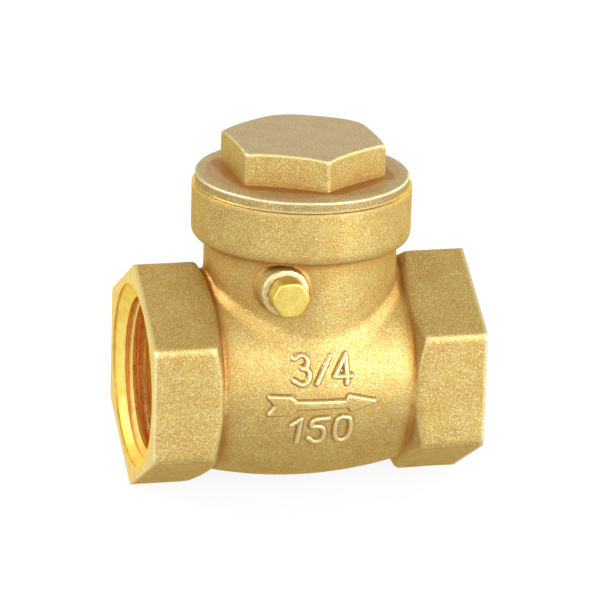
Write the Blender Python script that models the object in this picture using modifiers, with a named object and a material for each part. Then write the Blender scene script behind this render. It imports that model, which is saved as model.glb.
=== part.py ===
import math

import bmesh
import bpy
from mathutils import Matrix, Vector

# Swing check valve for a 3/4 inch pipe, with female threads in two hexagon ends.
# X runs with the flow, from the inlet at -X to the outlet at +X. Z runs up the cap's axis.
# The origin is where the two axes cross. All sizes are in metres.

# Fits and clearances
REST_GAP = 0.0003
RUNNING_FIT = 0.0001
THREAD_FIT = 0.0003

# Facets round a full turn, and along a small round
STEPS_LARGE = 64
STEPS_MEDIUM = 40
STEPS_SMALL = 24
STEPS_ROUND = 4

# Pipe threads and hexagon ends
THREAD_MAJOR_RADIUS = 0.01322
THREAD_PITCH = 0.001814
THREAD_DEPTH_PER_PITCH = 0.6403
THREAD_LENGTH = 0.0133
PORT_CHAMFER = 0.0012
PORT_MOUTH_LAND = 0.0003
HEX_WALL = 0.00278
HEX_LENGTH = 0.0098
HEX_BACK_ANGLE = math.radians(29.0)

# Inlet passage and seat
INLET_TAPER_LENGTH = 0.0040
SEAT_BORE_LENGTH = 0.0030
SEAT_BORE_STEP = 0.00306
SEAT_LAND = 0.0014
SEAT_HEIGHT = 0.0012
SEAT_BEHIND_PIN = 0.0003

# Seal disc, its holder and what fastens it
SEAL_THICKNESS = 0.0018
SEAL_PROUD = 0.0003
HOLDER_RIM = 0.0008
HOLDER_WEB = 0.0015
STEM_RADIUS = 0.0022
STEM_PROUD = 0.0005
SEAL_WASHER_RADIUS = 0.0060
SEAL_WASHER_THICKNESS = 0.0008
SCREW_RADIUS = 0.0011
SCREW_HEAD_RADIUS = 0.0026
SCREW_HEAD_HEIGHT = 0.0013
SCREW_REACH = 0.0030
SCREW_SLOT_WIDTH = 0.0006
SCREW_SLOT_DEPTH = 0.0006
STEM_WASHER_WIDTH = 0.0022
STEM_WASHER_THICKNESS = 0.0007
STEM_NUT_WALL = 0.0015
STEM_NUT_HEIGHT = 0.0028

# Hinge pin and hanger
PIN_OFFSET = 0.0062
PIN_RADIUS = 0.0015
PIN_BACK_WALL = 0.0012
KNUCKLE_WALL = 0.0012
KNUCKLE_CLEARANCE = 0.0015
HANGER_THICKNESS = 0.0022
HANGER_BEND_RISE = 0.0018
HANGER_SIDE_CLEARANCE = 0.0005
EYE_WALL = 0.0025
ARM_WAIST = 0.0040
YOKE_FLARE_SLOPE = 0.7
EAR_WIDTH = 0.0036

# Belly, neck and collar
CHAMBER_CLEARANCE = 0.0027
BELLY_WALL = 0.0030
BELLY_CROWN = 0.0018
SHOULDER_ROUND = 0.0016
SHOULDER_SETBACK = 0.0010
VALLEY_DEPTH = 0.0025
OUTLET_TAPER_LENGTH = 0.0012
NECK_SETBACK = 0.00194
NECK_WALL = 0.00246
NECK_FLOOR_WALL = 0.0015
FOOT_ROUND_FRONT = 0.0110
FOOT_ROUND_SIDE = 0.0010
FOOT_FADE_POWER = 8
FOOT_DIP = 0.00003
FOOT_ROWS = 6
COLLAR_OVERHANG = 0.00211
COLLAR_HEIGHT = 0.0084
COLLAR_ROUND = 0.0012
COLLAR_EDGE = 0.0003

# Plug boss on the neck, and the plug
BOSS_WALL = 0.0015
BOSS_PROJECTION = 0.0023
BOSS_BELOW_COLLAR = 0.0006
BOSS_EDGE = 0.0003
PLUG_RADIUS = 0.0020
PLUG_HOLE_FLOOR = 0.0014
PLUG_HEAD_ACROSS_FLATS = 0.0056
PLUG_HEAD_HEIGHT = 0.0033
PLUG_HEAD_RADIUS = 0.00295
PLUG_HEAD_TURN = math.radians(2.0)
PLUG_WASHER_WIDTH = 0.0005
PLUG_WASHER_THICKNESS = 0.0005
SPOT_FACE_DEPTH = 0.0005

# Cap and its gasket
CAP_THREAD_STEP = 0.0008
CAP_FLANGE_INSET = 0.0005
CAP_FLANGE_THICKNESS = 0.0016
CAP_FLANGE_RISE = 0.0006
CAP_HEX_ACROSS_FLATS = 0.0230
CAP_HEX_HEIGHT = 0.0053
CAP_HEX_TURN = math.radians(-26.5)
CAP_HEX_CHAMFER = math.radians(20.0)
CAP_HEX_CHAMFER_INSET = 0.0020
CAP_WALL = 0.0026
CAP_TOP_WALL = 0.0030
SKIRT_ABOVE_NECK = 0.0012
GASKET_WIDTH = 0.0017
GASKET_THICKNESS = 0.0009

# Sizes that follow from the ones above: threads, seat and disc
thread_minor_radius = THREAD_MAJOR_RADIUS - THREAD_DEPTH_PER_PITCH * THREAD_PITCH
pin_x = -PIN_OFFSET
seat_x = pin_x - SEAT_BEHIND_PIN
chamber_inlet_x = seat_x - SEAT_HEIGHT
seat_bore_start_x = seat_x - SEAT_BORE_LENGTH
inlet_thread_end_x = seat_bore_start_x - INLET_TAPER_LENGTH
half_length = -inlet_thread_end_x + THREAD_LENGTH
outlet_thread_end_x = half_length - THREAD_LENGTH
seat_bore_radius = thread_minor_radius - SEAT_BORE_STEP
seat_outer_radius = seat_bore_radius + SEAT_LAND
seal_radius = seat_outer_radius
holder_pocket_radius = seal_radius + REST_GAP
holder_radius = holder_pocket_radius + HOLDER_RIM
seal_front_x = seat_x + REST_GAP
seal_back_x = seal_front_x + SEAL_THICKNESS
holder_front_x = seal_front_x + SEAL_PROUD
pocket_floor_x = seal_back_x + REST_GAP
holder_back_x = pocket_floor_x + HOLDER_WEB

# Hanger, washer and nut along the stem
hanger_front_x = holder_back_x + REST_GAP
hanger_back_x = hanger_front_x + HANGER_THICKNESS
stem_washer_x = hanger_back_x + REST_GAP
stem_nut_x = stem_washer_x + STEM_WASHER_THICKNESS + REST_GAP
stem_end_x = stem_nut_x + STEM_NUT_HEIGHT + STEM_PROUD
stem_hole_radius = STEM_RADIUS + RUNNING_FIT
nut_hole_radius = STEM_RADIUS + THREAD_FIT
eye_radius = stem_hole_radius + EYE_WALL

# Body radii, and heights up the neck
chamber_radius = holder_radius + CHAMBER_CLEARANCE
belly_radius = chamber_radius + BELLY_WALL
hex_inradius = THREAD_MAJOR_RADIUS + HEX_WALL
hex_corner_radius = hex_inradius / math.cos(math.pi / 6)
hex_outer_x = half_length - HEX_LENGTH
hex_inner_x = hex_outer_x - (hex_corner_radius - hex_inradius) * math.tan(HEX_BACK_ANGLE)
neck_radius = belly_radius - NECK_SETBACK
neck_bore_radius = neck_radius - NECK_WALL
neck_floor_z = max(thread_minor_radius, holder_radius) + NECK_FLOOR_WALL
pin_hole_radius = PIN_RADIUS + RUNNING_FIT
knuckle_radius = pin_hole_radius + KNUCKLE_WALL
pin_z = neck_floor_z + KNUCKLE_CLEARANCE + knuckle_radius
plug_hole_radius = PLUG_RADIUS + THREAD_FIT
boss_radius = plug_hole_radius + BOSS_WALL
collar_bottom_z = pin_z + boss_radius + BOSS_BELOW_COLLAR
collar_top_z = collar_bottom_z + COLLAR_HEIGHT
collar_radius = neck_radius + COLLAR_OVERHANG

# Places along the hinge pin
neck_outer_y = math.sqrt(neck_radius ** 2 - pin_x ** 2)
neck_inner_y = math.sqrt(neck_bore_radius ** 2 - pin_x ** 2)
boss_face_y = neck_outer_y + BOSS_PROJECTION
spot_face_y = boss_face_y - SPOT_FACE_DEPTH
plug_washer_y = spot_face_y + REST_GAP
plug_head_y = plug_washer_y + PLUG_WASHER_THICKNESS + REST_GAP
plug_hole_end_y = neck_inner_y + PLUG_HOLE_FLOOR
plug_end_y = plug_hole_end_y + REST_GAP
pin_front_y = plug_end_y - REST_GAP
pin_hole_back_y = neck_outer_y - PIN_BACK_WALL
pin_back_y = pin_hole_back_y - REST_GAP
plug_washer_radius = plug_hole_radius + PLUG_WASHER_WIDTH
knuckle_back_x = pin_x - knuckle_radius
yoke_half_width = math.sqrt(neck_bore_radius ** 2 - knuckle_back_x ** 2) - HANGER_SIDE_CLEARANCE

# Cap
cap_bore_radius = neck_bore_radius + CAP_THREAD_STEP
skirt_radius = cap_bore_radius - THREAD_FIT
skirt_bottom_z = collar_bottom_z + SKIRT_ABOVE_NECK
cap_bore_floor_z = skirt_bottom_z - REST_GAP
gasket_inner_radius = skirt_radius + REST_GAP
gasket_outer_radius = gasket_inner_radius + GASKET_WIDTH
gasket_bottom_z = collar_top_z - GASKET_THICKNESS
gasket_groove_z = gasket_bottom_z - REST_GAP
flange_bottom_z = collar_top_z + REST_GAP
flange_radius = collar_radius - CAP_FLANGE_INSET
flange_rim_z = flange_bottom_z + CAP_FLANGE_THICKNESS
cap_hex_base_z = flange_rim_z + CAP_FLANGE_RISE
cap_top_z = cap_hex_base_z + CAP_HEX_HEIGHT
cap_hex_corner_radius = CAP_HEX_ACROSS_FLATS / 2 / math.cos(math.pi / 6)

# Turned shapes are made round Z. These turn them to lie along the flow or along the hinge pin.
# The half step keeps the facets of a cutter from meeting those of the surface edge to edge.
ALONG_X = Matrix.Rotation(math.pi / 2, 4, "Y")
ALONG_PIN = Matrix.Translation((pin_x, 0.0, pin_z)) @ Matrix.Rotation(math.pi / 2, 4, "X")
HALF_STEP = Matrix.Rotation(math.pi / STEPS_LARGE, 4, "Z")
MERGE_DISTANCE = 0.00001
CUT_PAST = 0.002


def clear_scene():
    for item in list(bpy.data.objects):
        bpy.data.objects.remove(item, do_unlink=True)
    for item in list(bpy.data.collections):
        bpy.data.collections.remove(item)


def new_collection(name):
    collection = bpy.data.collections.new(name)
    bpy.context.scene.collection.children.link(collection)
    return collection


def new_material(name, colour, roughness, metallic):
    material = bpy.data.materials.new(name)
    material.use_nodes = True
    shader = material.node_tree.nodes["Principled BSDF"]
    shader.inputs["Base Color"].default_value = (*colour, 1.0)
    shader.inputs["Roughness"].default_value = roughness
    shader.inputs["Metallic"].default_value = metallic
    return material


def new_object(name, mesh, matrix=None):
    item = bpy.data.objects.new(name, mesh)
    item.matrix_world = matrix or Matrix()
    cutters.objects.link(item)
    item.display_type = "WIRE"
    item.hide_render = True
    return item


def turned(name, profile, steps, matrix=None, closed=False):
    """Turn (radius, height) points round Z. They run down the outer side."""
    mesh = bpy.data.meshes.new(name)
    shape = bmesh.new()
    points = [shape.verts.new((radius, 0.0, height)) for radius, height in profile]
    for first, second in zip(points, points[1:]):
        shape.edges.new((first, second))
    if closed:
        shape.edges.new((points[-1], points[0]))
    shape.to_mesh(mesh)
    shape.free()
    item = new_object(name, mesh, matrix)
    screw = item.modifiers.new("turn", "SCREW")
    screw.angle = 2 * math.pi
    screw.steps = steps
    screw.render_steps = steps
    screw.use_merge_vertices = True
    screw.merge_threshold = MERGE_DISTANCE
    screw.use_smooth_shade = False
    return item


def rod(name, radius, low, high, steps, matrix=None):
    """A plain cylinder from low to high on its own axis."""
    mesh = bpy.data.meshes.new(name)
    shape = bmesh.new()
    bmesh.ops.create_cone(
        shape, cap_ends=True, segments=steps, radius1=radius, radius2=radius, depth=high - low,
        matrix=Matrix.Translation((0, 0, (low + high) / 2)),
    )
    shape.to_mesh(mesh)
    shape.free()
    return new_object(name, mesh, matrix)


def hex_bar(name, across_flats, low, high, turn, matrix=None):
    """A hexagonal bar with one corner at the angle turn from its own X."""
    item = rod(name, across_flats / 2 / math.cos(math.pi / 6), low, high, 6, matrix)
    item.data.transform(Matrix.Rotation(turn - math.pi / 2, 4, "Z"))
    return item


def block(name, low, high):
    """A box between two corners."""
    mesh = bpy.data.meshes.new(name)
    shape = bmesh.new()
    centre = (Vector(low) + Vector(high)) / 2
    size = Vector(high) - Vector(low)
    place = Matrix.Translation(centre) @ Matrix.Diagonal((*size, 1.0))
    bmesh.ops.create_cube(shape, size=1.0, matrix=place)
    shape.to_mesh(mesh)
    shape.free()
    return new_object(name, mesh)


def extruded(name, outline, thickness, matrix):
    """A flat outline given thickness both ways, as one welded mesh."""
    curve = bpy.data.curves.new(name, "CURVE")
    curve.dimensions = "2D"
    curve.fill_mode = "BOTH"
    curve.extrude = thickness / 2
    spline = curve.splines.new("POLY")
    spline.points.add(len(outline) - 1)
    for point, (across, up) in zip(spline.points, outline):
        point.co = (across, up, 0.0, 1.0)
    spline.use_cyclic_u = True
    flat = bpy.data.objects.new(name, curve)
    cutters.objects.link(flat)
    mesh = bpy.data.meshes.new_from_object(flat.evaluated_get(bpy.context.evaluated_depsgraph_get()))
    bpy.data.objects.remove(flat)
    shape = bmesh.new()
    shape.from_mesh(mesh)
    bmesh.ops.remove_doubles(shape, verts=shape.verts, dist=MERGE_DISTANCE)
    bmesh.ops.recalc_face_normals(shape, faces=shape.faces)
    shape.to_mesh(mesh)
    shape.free()
    return new_object(name, mesh, matrix)


def combine(item, other, operation):
    boolean = item.modifiers.new(other.name, "BOOLEAN")
    boolean.operation = operation
    boolean.solver = "EXACT"
    boolean.object = other


def join(item, *others):
    for other in others:
        combine(item, other, "UNION")


def cut(item, *others):
    for other in others:
        combine(item, other, "DIFFERENCE")


def finish(item, name, material, parent=None):
    """Make a shape one of the valve's pieces."""
    item.name = name
    item.data.name = name
    cutters.objects.unlink(item)
    valve.objects.link(item)
    item.display_type = "TEXTURED"
    item.hide_render = False
    item.data.materials.clear()
    item.data.materials.append(material)
    item.data.shade_smooth()
    item.data.set_sharp_from_angle(angle=math.radians(35))
    if parent:
        item.parent = parent
        item.matrix_parent_inverse = parent.matrix_world.inverted()
    return item


def arc(centre, radius, start, end, count=STEPS_ROUND):
    """Points on an arc, in degrees from the first axis."""
    angles = [math.radians(start + (end - start) * step / count) for step in range(count + 1)]
    return [(centre[0] + radius * math.cos(a), centre[1] + radius * math.sin(a)) for a in angles]


def belly_profile():
    """The belly's crown, its rounded shoulders and the valley beside each hexagon, as (radius, x)."""
    shoulder_x = hex_inner_x - SHOULDER_SETBACK
    crown_radius = (shoulder_x ** 2 + BELLY_CROWN ** 2) / (2 * BELLY_CROWN)
    edge_x = shoulder_x - SHOULDER_ROUND
    edge_radius = belly_radius - crown_radius + math.sqrt(crown_radius ** 2 - edge_x ** 2)
    valley_radius = belly_radius - VALLEY_DEPTH
    upper = [(valley_radius, hex_outer_x), (valley_radius, shoulder_x + SHOULDER_ROUND / 3)]
    upper += arc((edge_radius - SHOULDER_ROUND, edge_x), SHOULDER_ROUND, 70, 10)
    for step in range(1, STEPS_ROUND + 1):
        x = edge_x * (1 - step / STEPS_ROUND)
        upper.append((belly_radius - crown_radius + math.sqrt(crown_radius ** 2 - x ** 2), x))
    lower = [(radius, -x) for radius, x in reversed(upper[:-1])]
    return [(0.0, hex_outer_x)] + upper + lower + [(0.0, -hex_outer_x)]


def hex_end(name, side):
    """One hexagon end with the cone that is turned on its inner face."""
    bar = hex_bar(name, 2 * hex_inradius, hex_inner_x - CUT_PAST, half_length, 0.0, ALONG_X)
    outer = hex_corner_radius + CUT_PAST
    inner = hex_inradius - CUT_PAST
    slope = math.tan(HEX_BACK_ANGLE)
    cone_end_x = hex_outer_x - (hex_corner_radius - inner) * slope
    cone = turned(
        name + "_cone",
        [
            (0.0, half_length + CUT_PAST),
            (outer, half_length + CUT_PAST),
            (outer, hex_outer_x + CUT_PAST * slope),
            (inner, cone_end_x),
            (0.0, cone_end_x),
        ],
        STEPS_LARGE,
        ALONG_X @ HALF_STEP,
    )
    combine(bar, cone, "INTERSECT")
    if side < 0:
        half_turn = Matrix.Rotation(math.pi, 4, "Z")
        bar.matrix_world = half_turn @ bar.matrix_world
        cone.matrix_world = half_turn @ cone.matrix_world
    return bar


def neck_profile():
    """Neck and collar in one profile, as (radius, z)."""
    round_bottom = arc((collar_radius - COLLAR_ROUND, collar_bottom_z + COLLAR_ROUND), COLLAR_ROUND, 0, -90)
    return [
        (0.0, collar_top_z),
        (collar_radius - COLLAR_EDGE, collar_top_z),
        (collar_radius, collar_top_z - COLLAR_EDGE),
        *round_bottom,
        (neck_radius + COLLAR_EDGE, collar_bottom_z),
        (neck_radius, collar_bottom_z - COLLAR_EDGE),
        (neck_radius, 0.0),
        (0.0, 0.0),
    ]


def neck_foot(name):
    """The cast round between the neck and the belly, as a ball would roll it.

    The ball's middle stays its own radius away from both surfaces. The ball is large in front and
    behind, where the crease fades away, and small at the sides, where the hexagons leave little
    room. The round's edges dip just under both surfaces.
    """
    shape = bmesh.new()
    rings = [[] for _ in range(FOOT_ROWS + 3)]
    for column in range(STEPS_LARGE):
        turn = 2 * math.pi * column / STEPS_LARGE
        ball = FOOT_ROUND_SIDE + (FOOT_ROUND_FRONT - FOOT_ROUND_SIDE) * math.sin(turn) ** FOOT_FADE_POWER
        reach = neck_radius + ball - FOOT_DIP
        across = reach * math.sin(turn)
        up = math.sqrt((belly_radius + ball - FOOT_DIP) ** 2 - across ** 2)
        middle = Vector((reach * math.cos(turn), across, up))
        to_belly = -Vector((0.0, middle.y, middle.z)).normalized()
        to_neck = -Vector((math.cos(turn), math.sin(turn), 0.0))
        under = middle + to_belly * (ball + belly_radius / 4)
        rings[0].append(shape.verts.new(under))
        for row in range(FOOT_ROWS + 1):
            direction = to_belly.slerp(to_neck, row / FOOT_ROWS)
            rings[row + 1].append(shape.verts.new(middle + direction * ball))
        top = middle + to_neck * (ball + NECK_WALL / 2) + Vector((0.0, 0.0, ball / 2))
        rings[-1].append(shape.verts.new(top))
    for lower, upper in zip(rings, rings[1:]):
        for column in range(STEPS_LARGE):
            after = (column + 1) % STEPS_LARGE
            shape.faces.new((lower[column], lower[after], upper[after], upper[column]))
    centre_low = shape.verts.new((0.0, 0.0, belly_radius / 2))
    centre_high = shape.verts.new((0.0, 0.0, belly_radius))
    for column in range(STEPS_LARGE):
        after = (column + 1) % STEPS_LARGE
        shape.faces.new((rings[0][after], rings[0][column], centre_low))
        shape.faces.new((rings[-1][column], rings[-1][after], centre_high))
    bmesh.ops.recalc_face_normals(shape, faces=shape.faces)
    mesh = bpy.data.meshes.new(name)
    shape.to_mesh(mesh)
    shape.free()
    return new_object(name, mesh)


def port_profile(inner_points, taper_end):
    """A threaded port's hollow, from outside the end face to the taper's end, as (radius, x)."""
    mouth = THREAD_MAJOR_RADIUS + PORT_MOUTH_LAND
    mouth_outer = mouth + PORT_CHAMFER
    return [
        (0.0, half_length + CUT_PAST),
        (mouth_outer + CUT_PAST, half_length + CUT_PAST),
        (mouth, half_length - PORT_CHAMFER),
        (thread_minor_radius, half_length - PORT_CHAMFER - (mouth - thread_minor_radius)),
        (thread_minor_radius, half_length - THREAD_LENGTH),
    ] + inner_points + [(0.0, taper_end)]


def make_body(material):
    body = turned("body", belly_profile(), STEPS_LARGE, ALONG_X)
    neck = turned("neck_shape", neck_profile(), STEPS_LARGE)
    boss = turned(
        "boss_shape",
        [
            (0.0, boss_face_y),
            (boss_radius - BOSS_EDGE, boss_face_y),
            (boss_radius, boss_face_y - BOSS_EDGE),
            (boss_radius, neck_inner_y),
            (0.0, neck_inner_y),
        ],
        STEPS_MEDIUM,
        ALONG_PIN,
    )
    join(body, hex_end("outlet_hex", 1), hex_end("inlet_hex", -1), neck_foot("foot_shape"), neck, boss)

    # The inlet's hollow is made pointing to +X, then turned to face -X.
    inlet = turned(
        "inlet_hollow",
        port_profile(
            [(seat_bore_radius, -seat_bore_start_x), (seat_bore_radius, -seat_x - CUT_PAST)],
            -seat_x - CUT_PAST,
        ),
        STEPS_LARGE,
        Matrix.Rotation(math.pi, 4, "Z") @ ALONG_X @ HALF_STEP,
    )
    taper_x = outlet_thread_end_x - OUTLET_TAPER_LENGTH
    chamber = turned(
        "chamber_hollow",
        port_profile(
            [
                (chamber_radius, taper_x),
                (chamber_radius, chamber_inlet_x),
                (seat_outer_radius + SEAT_HEIGHT / 2, chamber_inlet_x),
                (seat_outer_radius, seat_x),
            ],
            seat_x,
        ),
        STEPS_LARGE,
        ALONG_X @ HALF_STEP,
    )
    neck_hollow = turned(
        "neck_hollow",
        [
            (0.0, collar_top_z + CUT_PAST),
            (gasket_outer_radius + REST_GAP, collar_top_z + CUT_PAST),
            (gasket_outer_radius + REST_GAP, gasket_groove_z),
            (cap_bore_radius, gasket_groove_z),
            (cap_bore_radius, cap_bore_floor_z),
            (neck_bore_radius, cap_bore_floor_z),
            (neck_bore_radius, 0.0),
            (0.0, 0.0),
        ],
        STEPS_LARGE,
        HALF_STEP,
    )
    hole_end_y = plug_hole_end_y + REST_GAP
    pin_hole = rod("pin_hole", pin_hole_radius, -pin_hole_back_y, hole_end_y, STEPS_SMALL, ALONG_PIN)
    plug_hole = turned(
        "plug_hole",
        [
            (0.0, boss_face_y + CUT_PAST),
            (plug_washer_radius + REST_GAP, boss_face_y + CUT_PAST),
            (plug_washer_radius + REST_GAP, spot_face_y),
            (plug_hole_radius, spot_face_y),
            (plug_hole_radius, plug_hole_end_y),
            (0.0, plug_hole_end_y),
        ],
        STEPS_MEDIUM,
        ALONG_PIN,
    )
    seat_wall = block(
        "seat_wall",
        (-2 * neck_radius, -2 * neck_radius, -CUT_PAST),
        (seat_x + REST_GAP, 2 * neck_radius, neck_floor_z),
    )
    cut(neck_hollow, seat_wall)
    join(chamber, inlet, neck_hollow, plug_hole, pin_hole)
    cut(body, chamber)
    return finish(body, "body", material)


def make_cap(material):
    edge = CAP_FLANGE_THICKNESS / 5
    cap = turned(
        "cap",
        [
            (0.0, cap_hex_base_z),
            (CAP_HEX_ACROSS_FLATS / 2, cap_hex_base_z),
            (flange_radius - edge, flange_rim_z),
            (flange_radius, flange_rim_z - edge),
            (flange_radius, flange_bottom_z),
            (skirt_radius, flange_bottom_z),
            (skirt_radius, skirt_bottom_z + edge),
            (skirt_radius - edge, skirt_bottom_z),
            (0.0, skirt_bottom_z),
        ],
        STEPS_LARGE,
    )
    head = hex_bar("cap_head", CAP_HEX_ACROSS_FLATS, flange_rim_z, cap_top_z, CAP_HEX_TURN)
    outer = cap_hex_corner_radius + CUT_PAST
    chamfer_start = cap_hex_corner_radius - CAP_HEX_CHAMFER_INSET
    dome = turned(
        "cap_head_cone",
        [
            (0.0, cap_top_z),
            (chamfer_start, cap_top_z),
            (outer, cap_top_z - (outer - chamfer_start) * math.tan(CAP_HEX_CHAMFER)),
            (outer, skirt_bottom_z),
            (0.0, skirt_bottom_z),
        ],
        STEPS_LARGE,
    )
    combine(head, dome, "INTERSECT")
    hollow_radius = min(skirt_radius, CAP_HEX_ACROSS_FLATS / 2) - CAP_WALL
    hollow_top_z = cap_top_z - CAP_TOP_WALL
    top_round = CAP_WALL / 2
    hollow = turned(
        "cap_hollow",
        [
            (0.0, hollow_top_z),
            *arc((hollow_radius - top_round, hollow_top_z - top_round), top_round, 90, 0),
            (hollow_radius, flange_bottom_z),
            (skirt_radius - CAP_WALL, skirt_bottom_z - CUT_PAST),
            (0.0, skirt_bottom_z - CUT_PAST),
        ],
        STEPS_LARGE,
    )
    join(cap, head)
    cut(cap, hollow)
    return finish(cap, "cap", material)


def ring(name, inner, outer, low, high, steps, matrix=None):
    """A flat ring or washer."""
    profile = [(inner, high), (outer, high), (outer, low), (inner, low)]
    return turned(name, profile, steps, matrix, closed=True)


def make_pin_plug(material):
    """Hexagon head with a turned edge, on a threaded shank that closes the pin's hole."""
    plug = rod("pin_plug", PLUG_RADIUS, plug_end_y, plug_head_y + REST_GAP, STEPS_MEDIUM, ALONG_PIN)
    top = plug_head_y + PLUG_HEAD_HEIGHT
    head = hex_bar("plug_head", PLUG_HEAD_ACROSS_FLATS, plug_head_y, top, PLUG_HEAD_TURN, ALONG_PIN)
    edge = PLUG_HEAD_HEIGHT / 8
    round_edge = turned(
        "plug_head_round",
        [
            (0.0, top),
            (PLUG_HEAD_RADIUS - 1.5 * edge, top),
            (PLUG_HEAD_RADIUS - edge / 2, top - edge / 2),
            (PLUG_HEAD_RADIUS, top - 1.5 * edge),
            (PLUG_HEAD_RADIUS, plug_head_y - edge),
            (0.0, plug_head_y - edge),
        ],
        STEPS_MEDIUM,
        ALONG_PIN,
    )
    combine(head, round_edge, "INTERSECT")
    join(plug, head)
    return finish(plug, "pin_plug", material)


def tangent_angle(point, centre, radius, side):
    """Where a line from a point touches a circle, in degrees, on one side or the other."""
    away = Vector((point[0] - centre[0], point[1] - centre[1]))
    heading = math.atan2(away.y, away.x)
    return math.degrees(heading + side * math.acos(radius / away.length))


def hanger_side_outline():
    """Seen from the side, as (x, z): a flat plate that bends over the disc's rim to the pin."""
    bend_low = (hanger_front_x, holder_radius + HANGER_SIDE_CLEARANCE)
    bend_high = (hanger_back_x, bend_low[1] + HANGER_BEND_RISE)
    pin_centre = (pin_x, pin_z)
    start = tangent_angle(bend_high, pin_centre, knuckle_radius, 1)
    end = tangent_angle(bend_low, pin_centre, knuckle_radius, -1)
    knuckle = arc(pin_centre, knuckle_radius, start, end + 360, STEPS_SMALL * 2 // 3)
    foot_z = -eye_radius - CUT_PAST
    return [(hanger_front_x, foot_z), (hanger_back_x, foot_z), bend_high, *knuckle, bend_low]


def hanger_front_outline():
    """Seen along the flow, as (y, z): a round eye, a narrow arm and a wide yoke."""
    waist_z = eye_radius
    yoke_z = holder_radius + HANGER_SIDE_CLEARANCE
    flare_z = yoke_z - (yoke_half_width - ARM_WAIST) * YOKE_FLARE_SLOPE
    top = pin_z + knuckle_radius + CUT_PAST
    start = tangent_angle((ARM_WAIST, waist_z), (0.0, 0.0), eye_radius, -1)
    right = [(ARM_WAIST, waist_z), (ARM_WAIST, flare_z), (yoke_half_width, yoke_z), (yoke_half_width, top)]
    left = [(-across, up) for across, up in reversed(right)]
    return right + left + arc((0.0, 0.0), eye_radius, 180 - start, 360 + start, STEPS_SMALL)


def make_hanger(material, pivot):
    upright = Matrix.Rotation(math.pi / 2, 4, "X")
    facing_flow = Matrix.Rotation(math.pi / 2, 4, "Z") @ upright
    across = 2 * (yoke_half_width + CUT_PAST)
    along = 2 * (CUT_PAST - knuckle_back_x)
    hanger = extruded("hanger", hanger_side_outline(), across, upright)
    front = extruded("hanger_front", hanger_front_outline(), along, facing_flow)
    combine(hanger, front, "INTERSECT")
    slot_half = yoke_half_width - EAR_WIDTH
    slot = block(
        "hanger_slot",
        (knuckle_back_x - CUT_PAST, -slot_half, pin_z - knuckle_radius),
        (hanger_back_x + CUT_PAST, slot_half, pin_z + knuckle_radius + CUT_PAST),
    )
    bore = rod("hanger_bore", pin_hole_radius, -across, across, STEPS_SMALL, ALONG_PIN)
    eye_low = hanger_front_x - CUT_PAST
    eye_high = hanger_back_x + CUT_PAST
    eye = rod("hanger_eye", stem_hole_radius, eye_low, eye_high, STEPS_SMALL, ALONG_X)
    cut(hanger, slot, bore, eye)
    return finish(hanger, "hanger", material, pivot)


def make_disc_holder(material, pivot):
    """The cup that holds the seal, with the stem that goes through the hanger's eye."""
    hole = SCREW_RADIUS + THREAD_FIT
    hole_end_x = pocket_floor_x + SCREW_REACH + REST_GAP
    edge = HOLDER_RIM / 2
    holder = turned(
        "disc_holder",
        [
            (0.0, stem_end_x),
            (STEM_RADIUS - edge, stem_end_x),
            (STEM_RADIUS, stem_end_x - edge),
            (STEM_RADIUS, holder_back_x),
            (holder_radius - edge, holder_back_x),
            (holder_radius, holder_back_x - edge),
            (holder_radius, holder_front_x),
            (holder_pocket_radius, holder_front_x),
            (holder_pocket_radius, pocket_floor_x),
            (hole, pocket_floor_x),
            (hole, hole_end_x),
            (0.0, hole_end_x),
        ],
        STEPS_MEDIUM,
        ALONG_X,
    )
    return finish(holder, "disc_holder", material, pivot)


def make_seal_screw(material, pivot):
    """Slotted cheese head screw that holds the seal in its cup."""
    head_back_x = seal_front_x - REST_GAP - SEAL_WASHER_THICKNESS - REST_GAP
    head_front_x = head_back_x - SCREW_HEAD_HEIGHT
    edge = SCREW_HEAD_HEIGHT / 4
    screw = turned(
        "seal_screw",
        [
            (0.0, pocket_floor_x + SCREW_REACH),
            (SCREW_RADIUS, pocket_floor_x + SCREW_REACH),
            (SCREW_RADIUS, head_back_x),
            (SCREW_HEAD_RADIUS, head_back_x),
            (SCREW_HEAD_RADIUS, head_front_x + edge),
            (SCREW_HEAD_RADIUS - edge, head_front_x),
            (0.0, head_front_x),
        ],
        STEPS_SMALL,
        ALONG_X,
    )
    slot = block(
        "screw_slot",
        (head_front_x - CUT_PAST, -SCREW_SLOT_WIDTH / 2, -SCREW_HEAD_RADIUS - CUT_PAST),
        (head_front_x + SCREW_SLOT_DEPTH, SCREW_SLOT_WIDTH / 2, SCREW_HEAD_RADIUS + CUT_PAST),
    )
    cut(screw, slot)
    return finish(screw, "seal_screw", material, pivot)


def make_stem_nut(material, pivot):
    """Hexagon nut with a turned cone on its outer face."""
    across_flats = 2 * (nut_hole_radius + STEM_NUT_WALL)
    corner = across_flats / 2 / math.cos(math.pi / 6)
    high = stem_nut_x + STEM_NUT_HEIGHT
    nut = hex_bar("stem_nut", across_flats, stem_nut_x, high, 0.0, ALONG_X)
    outer = corner + CUT_PAST
    cone = turned(
        "stem_nut_cone",
        [
            (0.0, high),
            (across_flats / 2, high),
            (outer, high - (outer - across_flats / 2) * math.tan(HEX_BACK_ANGLE)),
            (outer, stem_nut_x - CUT_PAST),
            (0.0, stem_nut_x - CUT_PAST),
        ],
        STEPS_MEDIUM,
        ALONG_X,
    )
    combine(nut, cone, "INTERSECT")
    low = stem_nut_x - CUT_PAST
    cut(nut, rod("stem_nut_hole", nut_hole_radius, low, high + CUT_PAST, STEPS_SMALL, ALONG_X))
    return finish(nut, "stem_nut", material, pivot)


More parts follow.
